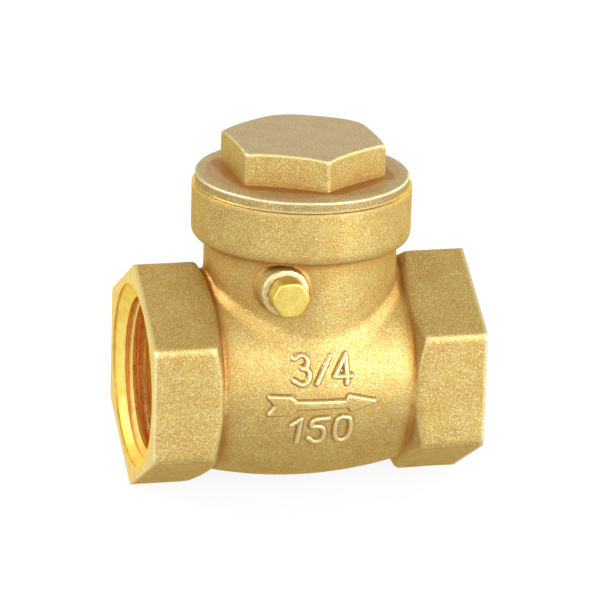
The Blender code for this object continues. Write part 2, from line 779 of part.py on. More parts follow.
def make_disc_rings(rubber, steel, pivot):
    """The seal and the two washers that are held on the disc holder's axis."""
    screw_hole = SCREW_RADIUS + THREAD_FIT
    seal = ring("disc_seal", screw_hole, seal_radius, seal_front_x, seal_back_x, STEPS_MEDIUM, ALONG_X)
    finish(seal, "disc_seal", rubber, pivot)
    low = seal_front_x - REST_GAP - SEAL_WASHER_THICKNESS
    high = low + SEAL_WASHER_THICKNESS
    seal_washer = ring("seal_washer", screw_hole, SEAL_WASHER_RADIUS, low, high, STEPS_MEDIUM, ALONG_X)
    finish(seal_washer, "seal_washer", steel, pivot)
    outer = nut_hole_radius + STEM_WASHER_WIDTH
    high = stem_washer_x + STEM_WASHER_THICKNESS
    stem_washer = ring("stem_washer", nut_hole_radius, outer, stem_washer_x, high, STEPS_MEDIUM, ALONG_X)
    finish(stem_washer, "stem_washer", steel, pivot)


def new_pivot(name, place, parent=None):
    """An empty on a joint's axis, which carries the pieces that turn with it."""
    pivot = bpy.data.objects.new(name, None)
    pivot.empty_display_size = PIN_OFFSET
    pivot.location = place
    valve.objects.link(pivot)
    if parent:
        pivot.parent = parent
        pivot.matrix_parent_inverse = Matrix.Translation(parent.location).inverted()
    bpy.context.view_layer.update()
    return pivot


def make_valve():
    cast_brass = new_material("cast_brass", (0.66, 0.47, 0.19), 0.5, 0.9)
    cap_brass = new_material("cap_brass", (0.60, 0.46, 0.24), 0.55, 0.9)
    hanger_brass = new_material("hanger_brass", (0.62, 0.44, 0.20), 0.45, 0.9)
    bar_brass = new_material("bar_brass", (0.78, 0.60, 0.24), 0.25, 1.0)
    steel = new_material("steel", (0.62, 0.61, 0.58), 0.3, 1.0)
    rubber = new_material("seal_rubber", (0.03, 0.03, 0.03), 0.7, 0.0)
    fibre = new_material("fibre", (0.30, 0.26, 0.20), 0.9, 0.0)

    make_body(cast_brass)
    make_cap(cap_brass)
    gasket = ring(
        "cap_gasket", gasket_inner_radius, gasket_outer_radius, gasket_bottom_z, collar_top_z, STEPS_LARGE
    )
    finish(gasket, "cap_gasket", fibre)
    make_pin_plug(bar_brass)
    plug_washer = ring(
        "plug_washer", plug_hole_radius, plug_washer_radius, plug_washer_y,
        plug_washer_y + PLUG_WASHER_THICKNESS, STEPS_MEDIUM, ALONG_PIN,
    )
    finish(plug_washer, "plug_washer", fibre)
    pin = rod("hinge_pin", PIN_RADIUS, -pin_back_y, pin_front_y, STEPS_SMALL, ALONG_PIN)
    finish(pin, "hinge_pin", steel)

    hinge_pivot = new_pivot("hinge_pivot", (pin_x, 0.0, pin_z))
    make_hanger(hanger_brass, hinge_pivot)
    disc_pivot = new_pivot("disc_pivot", (holder_back_x, 0.0, 0.0), hinge_pivot)
    make_disc_holder(bar_brass, disc_pivot)
    make_disc_rings(rubber, steel, disc_pivot)
    make_seal_screw(steel, disc_pivot)
    make_stem_nut(bar_brass, disc_pivot)


clear_scene()
valve = new_collection("swing_check_valve")
cutters = new_collection("cutters")
make_valve()
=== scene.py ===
import math

import bmesh
import bpy
import numpy as np
from mathutils import Matrix, Vector


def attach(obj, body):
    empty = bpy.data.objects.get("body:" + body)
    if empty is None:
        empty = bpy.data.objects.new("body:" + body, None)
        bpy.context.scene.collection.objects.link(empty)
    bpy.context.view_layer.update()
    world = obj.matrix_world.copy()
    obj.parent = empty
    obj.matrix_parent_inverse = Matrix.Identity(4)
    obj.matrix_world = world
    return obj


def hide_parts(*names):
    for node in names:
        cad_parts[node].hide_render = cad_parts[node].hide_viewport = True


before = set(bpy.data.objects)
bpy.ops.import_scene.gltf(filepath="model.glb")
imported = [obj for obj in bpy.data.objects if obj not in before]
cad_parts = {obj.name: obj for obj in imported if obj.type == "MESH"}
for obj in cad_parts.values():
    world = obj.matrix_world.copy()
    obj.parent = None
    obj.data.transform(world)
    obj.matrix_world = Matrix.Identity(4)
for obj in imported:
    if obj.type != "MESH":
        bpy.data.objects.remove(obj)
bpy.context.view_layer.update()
scene = bpy.context.scene

# The valve is drawn here in millimetres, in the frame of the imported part, and scaled at the end.
millimetre = 0.001


class Wire:  # a value in a node tree, so that a formula can be written as a formula
    def __init__(self, tree, socket):
        self.tree = tree
        self.socket = socket

    def math(self, operation, *others):
        node = self.tree.nodes.new("ShaderNodeMath")
        node.operation = operation
        for slot, value in zip(node.inputs, (self, *others)):
            feed(self.tree, slot, value)
        return Wire(self.tree, node.outputs[0])

    def __add__(self, other):
        return self.math("ADD", other)

    def __sub__(self, other):
        return self.math("SUBTRACT", other)

    def __mul__(self, other):
        return self.math("MULTIPLY", other)

    def __truediv__(self, other):
        return self.math("DIVIDE", other)

    def __neg__(self):
        return self.math("MULTIPLY", -1.0)

    def __abs__(self):
        return self.math("ABSOLUTE")


def root(value):
    return value.math("SQRT")


def hypot(a, b):
    return root(a * a + b * b)


def smoothMax(a, b, blend):
    return a.math("SMOOTH_MAX", b, blend)


def smoothMin(a, b, blend):
    return a.math("SMOOTH_MIN", b, blend)


def feed(tree, slot, value):
    # Links the slot to a wire or a socket, or sets it to a plain value.
    if isinstance(value, Wire):
        value = value.socket
    if isinstance(value, bpy.types.NodeSocket):
        tree.links.new(value, slot)
    else:
        slot.default_value = value


def addNode(tree, kind, values=None, **settings):
    node = tree.nodes.new(kind)
    for name, value in settings.items():
        setattr(node, name, value)
    for name, value in (values or {}).items():
        feed(tree, node.inputs[name], value)
    return node


def newTree(name, sizes):
    # A Geometry Nodes tree with one number input for each size, and the geometry that comes in.
    tree = bpy.data.node_groups.new(name, "GeometryNodeTree")
    tree.interface.new_socket("Geometry", in_out="INPUT", socket_type="NodeSocketGeometry")
    for size, value in sizes.items():
        socket = tree.interface.new_socket(size, in_out="INPUT", socket_type="NodeSocketFloat")
        socket.default_value = value
    tree.interface.new_socket("Geometry", in_out="OUTPUT", socket_type="NodeSocketGeometry")
    enter = tree.nodes.new("NodeGroupInput")
    wires = {size: Wire(tree, enter.outputs[size]) for size in sizes}
    return tree, enter.outputs["Geometry"], wires


def position(tree):
    place = tree.nodes.new("GeometryNodeInputPosition")
    split = addNode(tree, "ShaderNodeSeparateXYZ", {"Vector": place.outputs[0]})
    return place.outputs[0], [Wire(tree, socket) for socket in split.outputs]


def skinOf(tree, distance, box, voxel, material):
    # Fills the box with the distance to the shape, and puts a smooth mesh where it is nought.
    low, high = box
    depth = (-distance).math("MAXIMUM", -1.0).math("MINIMUM", 1.0)
    values = {"Density": depth, "Background": -1.0, "Min": low, "Max": high}
    block = addNode(tree, "GeometryNodeVolumeCube", values)
    for axis, a, b in zip("XYZ", low, high):
        block.inputs["Resolution " + axis].default_value = round((b - a) / voxel)
    values = {"Volume": block.outputs[0], "Threshold": 0.0}
    mesh = addNode(tree, "GeometryNodeVolumeToMesh", values, resolution_mode="GRID")
    values = {"Geometry": mesh.outputs[0], "Scale": (millimetre,) * 3}
    sized = addNode(tree, "GeometryNodeTransform", values)
    closeTree(tree, sized.outputs[0], material)


def closeTree(tree, geometry, material):
    smooth = addNode(tree, "GeometryNodeSetShadeSmooth", {"Geometry": geometry})
    real = addNode(tree, "GeometryNodeRealizeInstances", {"Geometry": smooth.outputs[0]})
    painted = addNode(tree, "GeometryNodeSetMaterial", {"Geometry": real.outputs[0], "Material": material})
    leave = tree.nodes.new("NodeGroupOutput")
    tree.links.new(painted.outputs[0], leave.inputs[0])


def objectFrom(name, mesh):
    piece = bpy.data.objects.new(name, mesh)
    scene.collection.objects.link(piece)
    return piece


def grow(name, tree, sizes, mesh=None):
    # An object whose mesh the tree makes. Its inputs are set by their identifiers.
    piece = objectFrom(name, mesh or bpy.data.meshes.new(name))
    modifier = piece.modifiers.new(tree.name, "NODES")
    modifier.node_group = tree
    for item in tree.interface.items_tree:
        if item.in_out == "INPUT" and item.name in sizes:
            modifier[item.identifier] = sizes[item.name]
    return piece


def settle(piece):
    # The evaluated mesh takes the place of the modifiers.
    evaluated = piece.evaluated_get(bpy.context.evaluated_depsgraph_get())
    result = bpy.data.meshes.new_from_object(evaluated)
    piece.modifiers.clear()
    piece.data = result
    result.name = piece.name
    return piece


def carve(piece, cutters, operation="DIFFERENCE"):
    # Cuts the cutters out of the piece in turn, or joins or keeps them, and removes them.
    for cutter in cutters:
        step = piece.modifiers.new(cutter.name, "BOOLEAN")
        step.operation = operation
        step.solver = "MANIFOLD"
        step.object = cutter
    settle(piece)
    for cutter in cutters:
        bpy.data.objects.remove(cutter)


def turned(name, profile, steps=96, place=None, pitch=None, depth=0.0):
    # Turns (radius, height) points round Z into a closed mesh. A pitch and a depth give it a thread.
    shape = bmesh.new()
    angles = [2 * math.pi * (step + 0.5) / steps for step in range(steps)]
    rings = []
    for radius, height in profile:
        if radius == 0:
            rings.append([shape.verts.new((0, 0, height))])
            continue
        phase = 2 * math.pi * height / pitch if pitch else 0.0
        radii = [radius - depth * (1 + math.cos(phase - angle)) / 2 for angle in angles]
        points = [(r * math.cos(angle), r * math.sin(angle), height) for r, angle in zip(radii, angles)]
        rings.append([shape.verts.new(point) for point in points])
    for first, second in zip(rings, rings[1:]):
        for step in range(steps):
            after = (step + 1) % steps
            places = ((first, step), (first, after), (second, after), (second, step))
            corners = [ring[number % len(ring)] for ring, number in places]
            shape.faces.new(list(dict.fromkeys(corners)))  # three corners at a pole
    if len(rings[0]) > 1:  # a ring's section joins up
        for step in range(steps):
            after = (step + 1) % steps
            shape.faces.new((rings[-1][step], rings[-1][after], rings[0][after], rings[0][step]))
    bmesh.ops.recalc_face_normals(shape, faces=shape.faces)
    mesh = bpy.data.meshes.new(name)
    shape.to_mesh(mesh)
    shape.free()
    mesh.transform(Matrix.Scale(millimetre, 4) @ (place or Matrix()))
    return objectFrom(name, mesh)


def between(first, second, count):
    # Evenly spaced (radius, height) points from the first to the second.
    steps = [step / count for step in range(count + 1)]
    return [tuple(a + (b - a) * step for a, b in zip(first, second)) for step in steps]


def brick(name, low, high):
    shape = bmesh.new()
    bmesh.ops.create_cube(shape, size=1.0)
    mesh = bpy.data.meshes.new(name)
    shape.to_mesh(mesh)
    shape.free()
    middle = Matrix.Translation((Vector(low) + Vector(high)) / 2)
    span = Matrix.Diagonal((*(Vector(high) - Vector(low)), 1.0))
    mesh.transform(Matrix.Scale(millimetre, 4) @ middle @ span)
    return objectFrom(name, mesh)


crispAngle = math.radians(38)


def handOver(piece, body, slot, *nodes):
    # Smooth shading with crisp corners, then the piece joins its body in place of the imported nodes.
    mesh = piece.data
    mesh.polygons.foreach_set("use_smooth", np.ones(len(mesh.polygons), dtype=bool))
    mesh.set_sharp_from_angle(angle=crispAngle)
    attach(piece, body)
    for node in nodes:
        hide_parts(node)
    print(piece.name, "made:", len(mesh.polygons), "faces")


alongFlow = Matrix.Rotation(math.pi / 2, 4, "Y")
halfTurn = Matrix.Rotation(math.pi, 4, "Z")


def newMaterial(name):
    material = bpy.data.materials.new(name)
    material.use_nodes = True
    tree = material.node_tree
    shader = tree.nodes["Principled BSDF"]
    place = tree.nodes.new("ShaderNodeTexCoord").outputs["Object"]
    return material, tree, shader, place


def noise(tree, place, size, detail=2.0, roughness=0.5):
    # size is the width of one blotch in millimetres
    scale = 1.0 / (size * millimetre)
    values = {"Vector": place, "Scale": scale, "Detail": detail, "Roughness": roughness}
    return Wire(tree, addNode(tree, "ShaderNodeTexNoise", values).outputs["Fac"])


def ramp(tree, value, low, high, bottom=0.0, top=1.0):
    # The value from low to high becomes one from bottom to top, and stays between them.
    values = {"Value": value, "From Min": low, "From Max": high, "To Min": bottom, "To Max": top}
    return Wire(tree, addNode(tree, "ShaderNodeMapRange", values).outputs[0])


def attribute(tree, name):
    node = tree.nodes.new("ShaderNodeAttribute")
    node.attribute_name = name
    return Wire(tree, node.outputs["Fac"])


def mixColour(tree, factor, first, second):
    node = tree.nodes.new("ShaderNodeMix")
    node.data_type = "RGBA"
    for number, value in ((0, factor), (6, first), (7, second)):
        feed(tree, node.inputs[number], (*value, 1.0) if isinstance(value, tuple) else value)
    return node.outputs[2]


def bump(tree, shader, height, strength, distance):
    values = {"Height": height, "Strength": strength, "Distance": distance * millimetre}
    tree.links.new(addNode(tree, "ShaderNodeBump", values).outputs[0], shader.inputs["Normal"])


def grainyBrass(name, look):
    # Sand-cast and blasted brass: a matt golden body with fine bright and dark specks and worn edges, with
    # painted shade in its creases and sheltered places.
    material, tree, shader, place = newMaterial(name)
    broad = noise(tree, place, look["blotchSize"], 3.0)
    speck = noise(tree, place, look["grainSize"], 2.0, 0.7)
    spark = noise(tree, place, look["grainSize"] * 0.8, 1.0)
    wear = ramp(tree, attribute(tree, "edge"), look["edgeFrom"], look["edgeTo"])
    # painted shade: darker where the surface bends inwards
    creviceShade = ramp(tree, attribute(tree, "hollow"), -look["hollowFrom"], -look["hollowTo"])
    colour = mixColour(tree, ramp(tree, broad, 0.35, 0.65), look["deep"], look["colour"])
    dark = ramp(tree, speck, 0.36, 0.60, 1.0, 0.0)
    colour = mixColour(tree, dark * look["speckAmount"], colour, look["speck"])
    bright = ramp(tree, spark, 0.50, 0.72)
    colour = mixColour(tree, bright * look["sparkAmount"], colour, look["spark"])
    # painted shade, wide and soft, over sheltered places
    shelterShade = ramp(tree, attribute(tree, "shelterShade"), -look["shelterFrom"], -look["shelterTo"])
    colour = mixColour(tree, shelterShade * look["shelterShadeAmount"], colour, look["shelterShade"])
    colour = mixColour(tree, creviceShade * look["creviceShadeAmount"], colour, look["creviceShade"])
    colour = mixColour(tree, wear * look["wearAmount"], colour, look["spark"])
    tree.links.new(colour, shader.inputs["Base Color"])
    dull, bright = look["roughness"] + 0.08, look["roughness"] - 0.08
    rough = ramp(tree, speck, 0.3, 0.7, dull, bright) - wear * 0.12
    tree.links.new(rough.socket, shader.inputs["Roughness"])
    shader.inputs["Metallic"].default_value = look["metallic"]
    shader.inputs["Specular Tint"].default_value = (*look["rim"], 1.0)  # the metal at a glancing view
    bump(tree, shader, (speck * 0.7 + spark * 0.3).socket, look["bump"], look["grainSize"])
    return material


castLook = {
    "colour": (0.445, 0.298, 0.076),
    "deep": (0.405, 0.245, 0.056),
    # painted shade for wide sheltered places
    "shelterShade": (0.36, 0.185, 0.032),
    "speck": (0.22, 0.125, 0.025),
    "spark": (0.80, 0.69, 0.37),
    # painted shade in creases
    "creviceShade": (0.31, 0.135, 0.024),
    "rim": (0.90, 0.70, 0.34),
    "grainSize": 0.31,
    "blotchSize": 3.0,
    "speckAmount": 0.42,
    "sparkAmount": 0.32,
    "creviceShadeAmount": 0.90,
    "shelterShadeAmount": 0.45,
    "wearAmount": 0.42,
    "edgeFrom": 0.25,
    "edgeTo": 1.2,
    "hollowFrom": 0.09,
    "hollowTo": 0.40,
    "shelterFrom": 0.01,
    "shelterTo": 0.12,
    "roughness": 0.52,
    "metallic": 0.85,
    "bump": 0.24,
}
capLook = {  # the cap's faces that look up: greyer, with less wear
    **castLook,
    "rim": (1.0, 0.9, 0.8),
    "colour": (0.42, 0.31, 0.145),
    "deep": (0.39, 0.275, 0.12),
    "speck": (0.24, 0.155, 0.05),
    "wearAmount": 0.16,
}
capSideLook = {**castLook, "creviceShadeAmount": 0.35, "shelterShadeAmount": 0.2, "wearAmount": 0.28}
rimLook = {**castLook, "colour": (0.34, 0.225, 0.08), "deep": (0.29, 0.18, 0.055), "wearAmount": 0.60}
castBrass = grainyBrass("castBrass", castLook)
capBrass = grainyBrass("capBrass", capLook)
capSideBrass = grainyBrass("capSideBrass", capSideLook)
rimBrass = grainyBrass("rimBrass", rimLook)

# Two colours that the metal drifts between, its colour at a glancing view, the width of the tool's
# rings, how far flecks darken it, and how much painted shade darkens its deep creases.
turnedLook = {
    "machinedBrass": {
        "colour": (0.82, 0.66, 0.26), "second": (0.76, 0.57, 0.19), "rim": (0.95, 0.78, 0.40),
        "roughness": 0.34, "bump": 0.10, "lay": 0.18, "fleck": 0.0, "rootShade": 0.5,
    },
    "chamferBrass": {
        "colour": (0.84, 0.64, 0.16), "second": (0.78, 0.52, 0.10), "rim": (0.92, 0.74, 0.30),
        "roughness": 0.38, "bump": 0.02, "lay": 0.8, "fleck": 0.0, "rootShade": 0.5,
    },
    # The thread's two copies of machined brass: a reddish one whose colour is painted shade and painted
    # reflection of the port's walls, and a golden one, painted light, for the flanks that face out of the
    # port.
    "shadedThreadBrass": {
        "colour": (0.80, 0.40, 0.12), "second": (0.76, 0.35, 0.09), "rim": (0.90, 0.50, 0.20),
        "roughness": 0.58, "bump": 0.0, "lay": 0.8, "fleck": 0.0, "rootShade": 0.0,
    },
    "litFlankBrass": {
        "colour": (0.86, 0.62, 0.20), "second": (0.84, 0.56, 0.16), "rim": (0.90, 0.68, 0.30),
        "roughness": 0.30, "bump": 0.0, "lay": 0.8, "fleck": 0.0, "rootShade": 0.0,
    },
    "plugBrass": {
        "colour": (0.58, 0.42, 0.095), "second": (0.52, 0.35, 0.07), "rim": (0.90, 0.74, 0.36),
        "roughness": 0.46, "bump": 0.30, "lay": 0.26, "fleck": 0.35, "rootShade": 0.5,
    },
    "turnedSteel": {
        "colour": (0.60, 0.59, 0.56), "second": (0.50, 0.49, 0.47), "rim": (0.85, 0.85, 0.85),
        "roughness": 0.30, "bump": 0.2, "lay": 0.2, "fleck": 0.0, "rootShade": 0.5,
    },
}


def turnedMetal(name, look):
    # Turned bar: smooth, with the fine unevenness that the tool leaves, a little tarnish, and painted
    # shade in its deep creases.
    material, tree, shader, place = newMaterial(name)
    tarnish = noise(tree, place, 1.8, 3.0)
    rings = noise(tree, place, look["lay"], 2.0, 0.6)
    colour = mixColour(tree, ramp(tree, tarnish, 0.35, 0.65), look["second"], look["colour"])
    dark = tuple(0.55 * part for part in look["second"])
    # painted shade: darker where the surface bends inwards, as in a thread's roots
    rootShade = ramp(tree, attribute(tree, "hollow"), -0.3, -2.5)
    colour = mixColour(tree, rootShade * look["rootShade"], colour, dark)
    flecks = ramp(tree, rings, 0.38, 0.60, 1.0, 0.0)
    colour = mixColour(tree, flecks * look["fleck"], colour, dark)
    tree.links.new(colour, shader.inputs["Base Color"])
    shader.inputs["Specular Tint"].default_value = (*look["rim"], 1.0)
    rough = ramp(tree, rings, 0.3, 0.7, look["roughness"] - 0.06, look["roughness"] + 0.08)
    tree.links.new(rough.socket, shader.inputs["Roughness"])
    shader.inputs["Metallic"].default_value = 0.95
    bump(tree, shader, rings.socket, look["bump"], look["lay"] * 0.4)
    return material


metals = {name: turnedMetal(name, look) for name, look in turnedLook.items()}

softLook = {
    "sealRubber": {
        "colour": (0.028, 0.028, 0.030), "second": (0.045, 0.045, 0.046),
        "roughness": 0.6, "size": 0.4, "bump": 0.2,
    },
    "pressedFibre": {
        "colour": (0.34, 0.19, 0.07), "second": (0.22, 0.12, 0.04),
        "roughness": 0.85, "size": 0.25, "bump": 0.5,
    },
}


def softStuff(name, look):
    # Rubber or fibre: flecked between two colours, with a fine relief.
    material, tree, shader, place = newMaterial(name)
    fleck = noise(tree, place, look["size"], 4.0, 0.7)
    colour = mixColour(tree, ramp(tree, fleck, 0.35, 0.65), look["second"], look["colour"])
    tree.links.new(colour, shader.inputs["Base Color"])
    rough = ramp(tree, fleck, 0.3, 0.7, look["roughness"] - 0.1, look["roughness"] + 0.1)
    tree.links.new(rough.socket, shader.inputs["Roughness"])
    bump(tree, shader, fleck.socket, look["bump"], look["size"] * 0.3)
    return material


softs = {name: softStuff(name, look) for name, look in softLook.items()}
print("finishes made")


def rowsOf(items, name):
    # One row of three numbers for each item.
    values = np.empty(len(items) * 3)
    items.foreach_get(name, values)
    return values.reshape(-1, 3)


def markEdges(piece, strength=1.0):
    # Writes how sharply the surface bends at each point, per millimetre: positive on an edge, negative in
    # a crease. The two further layers are the same, spread more widely; the materials paint shade in
    # creases and sheltered places from them.
    mesh = piece.data
    count = len(mesh.vertices)
    points = rowsOf(mesh.vertices, "co") / millimetre
    normals = rowsOf(mesh.vertices, "normal")
    ends = np.empty(len(mesh.edges) * 2, dtype=np.int64)
    mesh.edges.foreach_get("vertices", ends)
    first, second = ends.reshape(-1, 2).T
    across = points[second] - points[first]
    length = np.maximum((across ** 2).sum(1), 1e-4)
    bend = ((normals[second] - normals[first]) * across).sum(1) / length
    share = np.bincount(first, minlength=count) + np.bincount(second, minlength=count)
    share = np.maximum(share, 1)
    value = strength * (np.bincount(first, bend, count) + np.bincount(second, bend, count)) / share
    for name, passes in (("edge", 2), ("hollow", 12), ("shelterShade", 60)):
        for _ in range(passes):
            around = np.bincount(first, value[second], count) + np.bincount(second, value[first], count)
            value = (value + around / share) / 2
        layer = mesh.attributes.new(name, "FLOAT", "POINT")
        layer.data.foreach_set("value", value.astype(np.float32))


def paintFaces(piece, rule):
    # Gives each face the material slot that the rule picks from its middle and normal.
    mesh = piece.data
    slots = rule(rowsOf(mesh.polygons, "center") / millimetre, rowsOf(mesh.polygons, "normal"))
    mesh.polygons.foreach_set("material_index", slots.astype(np.int32))
    mesh.update()


def setMaterials(piece, *materials):
    piece.data.materials.clear()
    for material in materials:
        piece.data.materials.append(material)


bodySizes = {
    "Half length": 26.8,
    "Hex inradius": 16.0,
    "Hex edge round": 1.05,
    "Hex back start": 17.0,
    "Hex back angle": math.radians(29.0),
    "Belly radius": 17.2,
    "Belly crown": 1.8,
    "Shoulder": 15.35,
    "Shoulder round": 0.9,
    "Valley radius": 14.7,
    "Neck radius": 15.26,
    "Foot width": 0.85,
    "Foot blend": 0.4,
    "Collar radius": 17.37,
    "Collar bottom": 22.26,
    "Collar round": 2.1,
    "Boss radius": 3.8,
    "Boss x": -6.2,
    "Boss z": 17.86,
    "Boss face": -16.24,
    "Waviness": 0.035,
}
bodyVoxel = 0.36
bodyBox = ((-28.0, -18.6, -19.2), (28.0, 18.6, 32.0))
castBlends = {  # how widely two surfaces of the casting run into each other
    "valley": 0.4,
    "hexBack": 0.8,
    "hexFoot": 0.45,
    "collarFoot": 0.4,
    "bossEdge": 0.6,
    "bossFoot": 0.9,
}
collarTop = 30.658
valleyEnd = 20.0  # the valley's tube ends inside the hexagon
cutSpare = 0.8  # the casting is grown this far past the faces that are then cut flat
wavesPerMillimetre = 0.35

portSizes = {  # a 3/4 inch pipe thread, cut from inside the port out past the mouth
    "Minor radius": 12.058,
    "Depth": 1.16,
    "Pitch": 1.814,
    "Root half width": 0.13,
    "Flank angle": math.radians(27.5),
    "Start": 14.4,
    "Turns": 7.4,
}


def bellyHeight(r, ax, sizes):
    # Height over the crowned belly, whose section is an arc of a large circle.
    crown = (sizes["Shoulder"] * sizes["Shoulder"] / sizes["Belly crown"] + sizes["Belly crown"]) * 0.5
    return r - sizes["Belly radius"] + crown - root((crown * crown - ax * ax).math("MAXIMUM", 1.0))


def castBodyTree():
    tree, _, sizes = newTree("castBody", bodySizes)
    place, (x, y, z) = position(tree)
    ax, ay, az = abs(x), abs(y), abs(z)
    r = hypot(y, z)
    q = hypot(x, y)

    belly = smoothMax(bellyHeight(r, ax, sizes), ax - sizes["Shoulder"], sizes["Shoulder round"])
    valley = (r - sizes["Valley radius"]).math("MAXIMUM", ax - valleyEnd)
    flats = smoothMax(ay, ay * 0.5 + az * math.sqrt(0.75), sizes["Hex edge round"]) - sizes["Hex inradius"]
    corner = sizes["Hex inradius"] / math.cos(math.pi / 6)
    slope = sizes["Hex back angle"].math("TANGENT")
    lean = sizes["Hex back angle"].math("COSINE")
    back = (sizes["Hex back start"] - (corner - r) * slope - ax) * lean
    hexEnd = smoothMax(flats, back, castBlends["hexBack"])

    neck = (q - sizes["Neck radius"]).math("MAXIMUM", -z)
    collar = smoothMax(q - sizes["Collar radius"], sizes["Collar bottom"] - z, sizes["Collar round"])
    boss = hypot(x - sizes["Boss x"], z - sizes["Boss z"]) - sizes["Boss radius"]
    boss = smoothMax(boss, sizes["Boss face"] - y, castBlends["bossEdge"]).math("MAXIMUM", y)

    trunk = smoothMin(belly, valley, castBlends["valley"])
    trunk = smoothMin(trunk, hexEnd, castBlends["hexFoot"])
    tower = smoothMin(neck, collar, castBlends["collarFoot"])
    tower = smoothMin(tower, boss, castBlends["bossFoot"])
    foot = (trunk + tower - sizes["Foot width"]) * math.sqrt(0.5)
    whole = smoothMin(smoothMin(trunk, tower, sizes["Foot blend"]), foot, sizes["Foot blend"])
    whole = whole.math("MAXIMUM", z - collarTop - cutSpare)
    whole = whole.math("MAXIMUM", ax - sizes["Half length"] - cutSpare)
    values = {"Vector": place, "Scale": wavesPerMillimetre, "Detail": 2.0}
    uneven = Wire(tree, addNode(tree, "ShaderNodeTexNoise", values).outputs["Fac"])
    whole = whole + (uneven - 0.5) * sizes["Waviness"] * 2.0
    skinOf(tree, whole, bodyBox, bodyVoxel, castBrass)
    return tree


def threadTree():
    # The groove that the tap cuts: a wedge that follows a right-hand helix out past the mouth.
    tree, _, sizes = newTree("pipeThread", portSizes)
    turns, minor = sizes["Turns"], sizes["Minor radius"]
    values = {
        "Resolution": 96, "Rotations": turns, "Start Radius": minor, "End Radius": minor,
        "Height": turns * sizes["Pitch"], "Reverse": True,
    }
    helix = addNode(tree, "GeometryNodeCurveSpiral", values)
    level = addNode(tree, "GeometryNodeSetCurveNormal", {"Curve": helix.outputs[0]}, mode="Z_UP")
    slope = sizes["Flank angle"].math("TANGENT")
    depth, rootHalf = sizes["Depth"], sizes["Root half width"]
    entry = 0.3  # how far the wedge stands out into the bore
    inner = rootHalf + (depth + entry) * slope
    corners = [(-entry, -inner), (depth, -rootHalf), (depth, rootHalf), (-entry, inner)]
    wedge = tree.nodes.new("GeometryNodeCurvePrimitiveQuadrilateral")
    wedge.mode = "POINTS"
    for number, (out, along) in enumerate(corners, 1):
        point = addNode(tree, "ShaderNodeCombineXYZ", {"X": out, "Y": along})
        tree.links.new(point.outputs[0], wedge.inputs["Point " + str(number)])
    values = {"Curve": level.outputs[0], "Profile Curve": wedge.outputs[0], "Fill Caps": True}
    groove = addNode(tree, "GeometryNodeCurveToMesh", values)
    lifted = addNode(tree, "ShaderNodeCombineXYZ", {"Z": sizes["Start"] * millimetre})
    values = {"Geometry": groove.outputs[0], "Translation": lifted.outputs[0], "Scale": (millimetre,) * 3}
    sized = addNode(tree, "GeometryNodeTransform", values)
    closeTree(tree, sized.outputs[0], metals["shadedThreadBrass"])
    return tree


portMouth = [  # lip, chamfer and land, as (radius, place along the flow), from outside to the bore
    (14.62, 28.0),
    (14.57, 26.42),
    (14.42, 26.38),
    (13.52, 25.48),
    (portSizes["Minor radius"], 24.82),
]
passageSizes = {  # radii of the hollows, and places along the flow or up the neck
    "portEnd": 13.5,
    "taperEnd": 9.5,
    "boreRadius": 9.0,
    "boreCutEnd": 4.0,
    "chamberRadius": 14.2,
    "chamberEnd": 12.3,
    "seatFoot": -7.7,
    "seatFootRadius": 11.0,
    "seatFace": -6.5,
    "seatRadius": 10.4,
    "neckRadius": 12.8,
    "neckCutLow": 8.0,
    "skirtRadius": 13.6,
    "skirtFloor": 23.158,
    "gasketRadius": 15.9,
    "gasketFloor": 29.458,
    "neckCutHigh": 33.0,
}
seatWallBox = ((-46.2, -20.0, -13.56), (-6.2, 20.0, 13.56))  # what the neck's hollow leaves over the seat
pinPlace = (-6.2, 17.858)  # x and z of the hinge pin, on which the plug lies too
pinHoleSizes = {  # radii, and places along the pin from its middle towards the plug
    "cutEnd": 18,
    "spotFaceRadius": 2.85,
    "spotFace": 15.744,
    "plugHoleRadius": 2.3,
    "plugHoleEnd": 12.598,
    "pinHoleRadius": 1.6,
    "pinHoleEnd": -12.744,
}
overlap = 0.5  # how far one hollow reaches into the next
sliver = 0.02  # edges shorter than this are dissolved after the cuts


def flatCutters():
    # Discs that cut the two end faces and the collar's top flat.
    def slab(radius, low, thickness=2.0):
        return [(0, low + thickness), (radius, low + thickness), (radius, low), (0, low)]

    cutters = []
    for side in (1, -1):
        place = Matrix.Translation((side * bodySizes["Half length"], 0, 0))
        place = place @ Matrix.Rotation(side * math.pi / 2, 4, "Y")
        cutters.append(turned("endFace" + str(side), slab(22, 0), 48, place))
    return cutters + [turned("collarFace", slab(20, collarTop), 48)]


def portCutters():
    # The bore of each port, and the groove that its thread leaves.
    tap = threadTree()
    end = passageSizes["portEnd"]
    profile = [(0, portMouth[0][1]), *portMouth, (portSizes["Minor radius"], end), (0, end)]
    cutters = []
    for name, place in (("outlet", alongFlow), ("inlet", halfTurn @ alongFlow)):
        cutters.append(turned(name + "Port", profile, 96, place))
        groove = settle(grow(name + "Thread", tap, portSizes))
        groove.data.transform(place)
        cutters.append(groove)
    return cutters


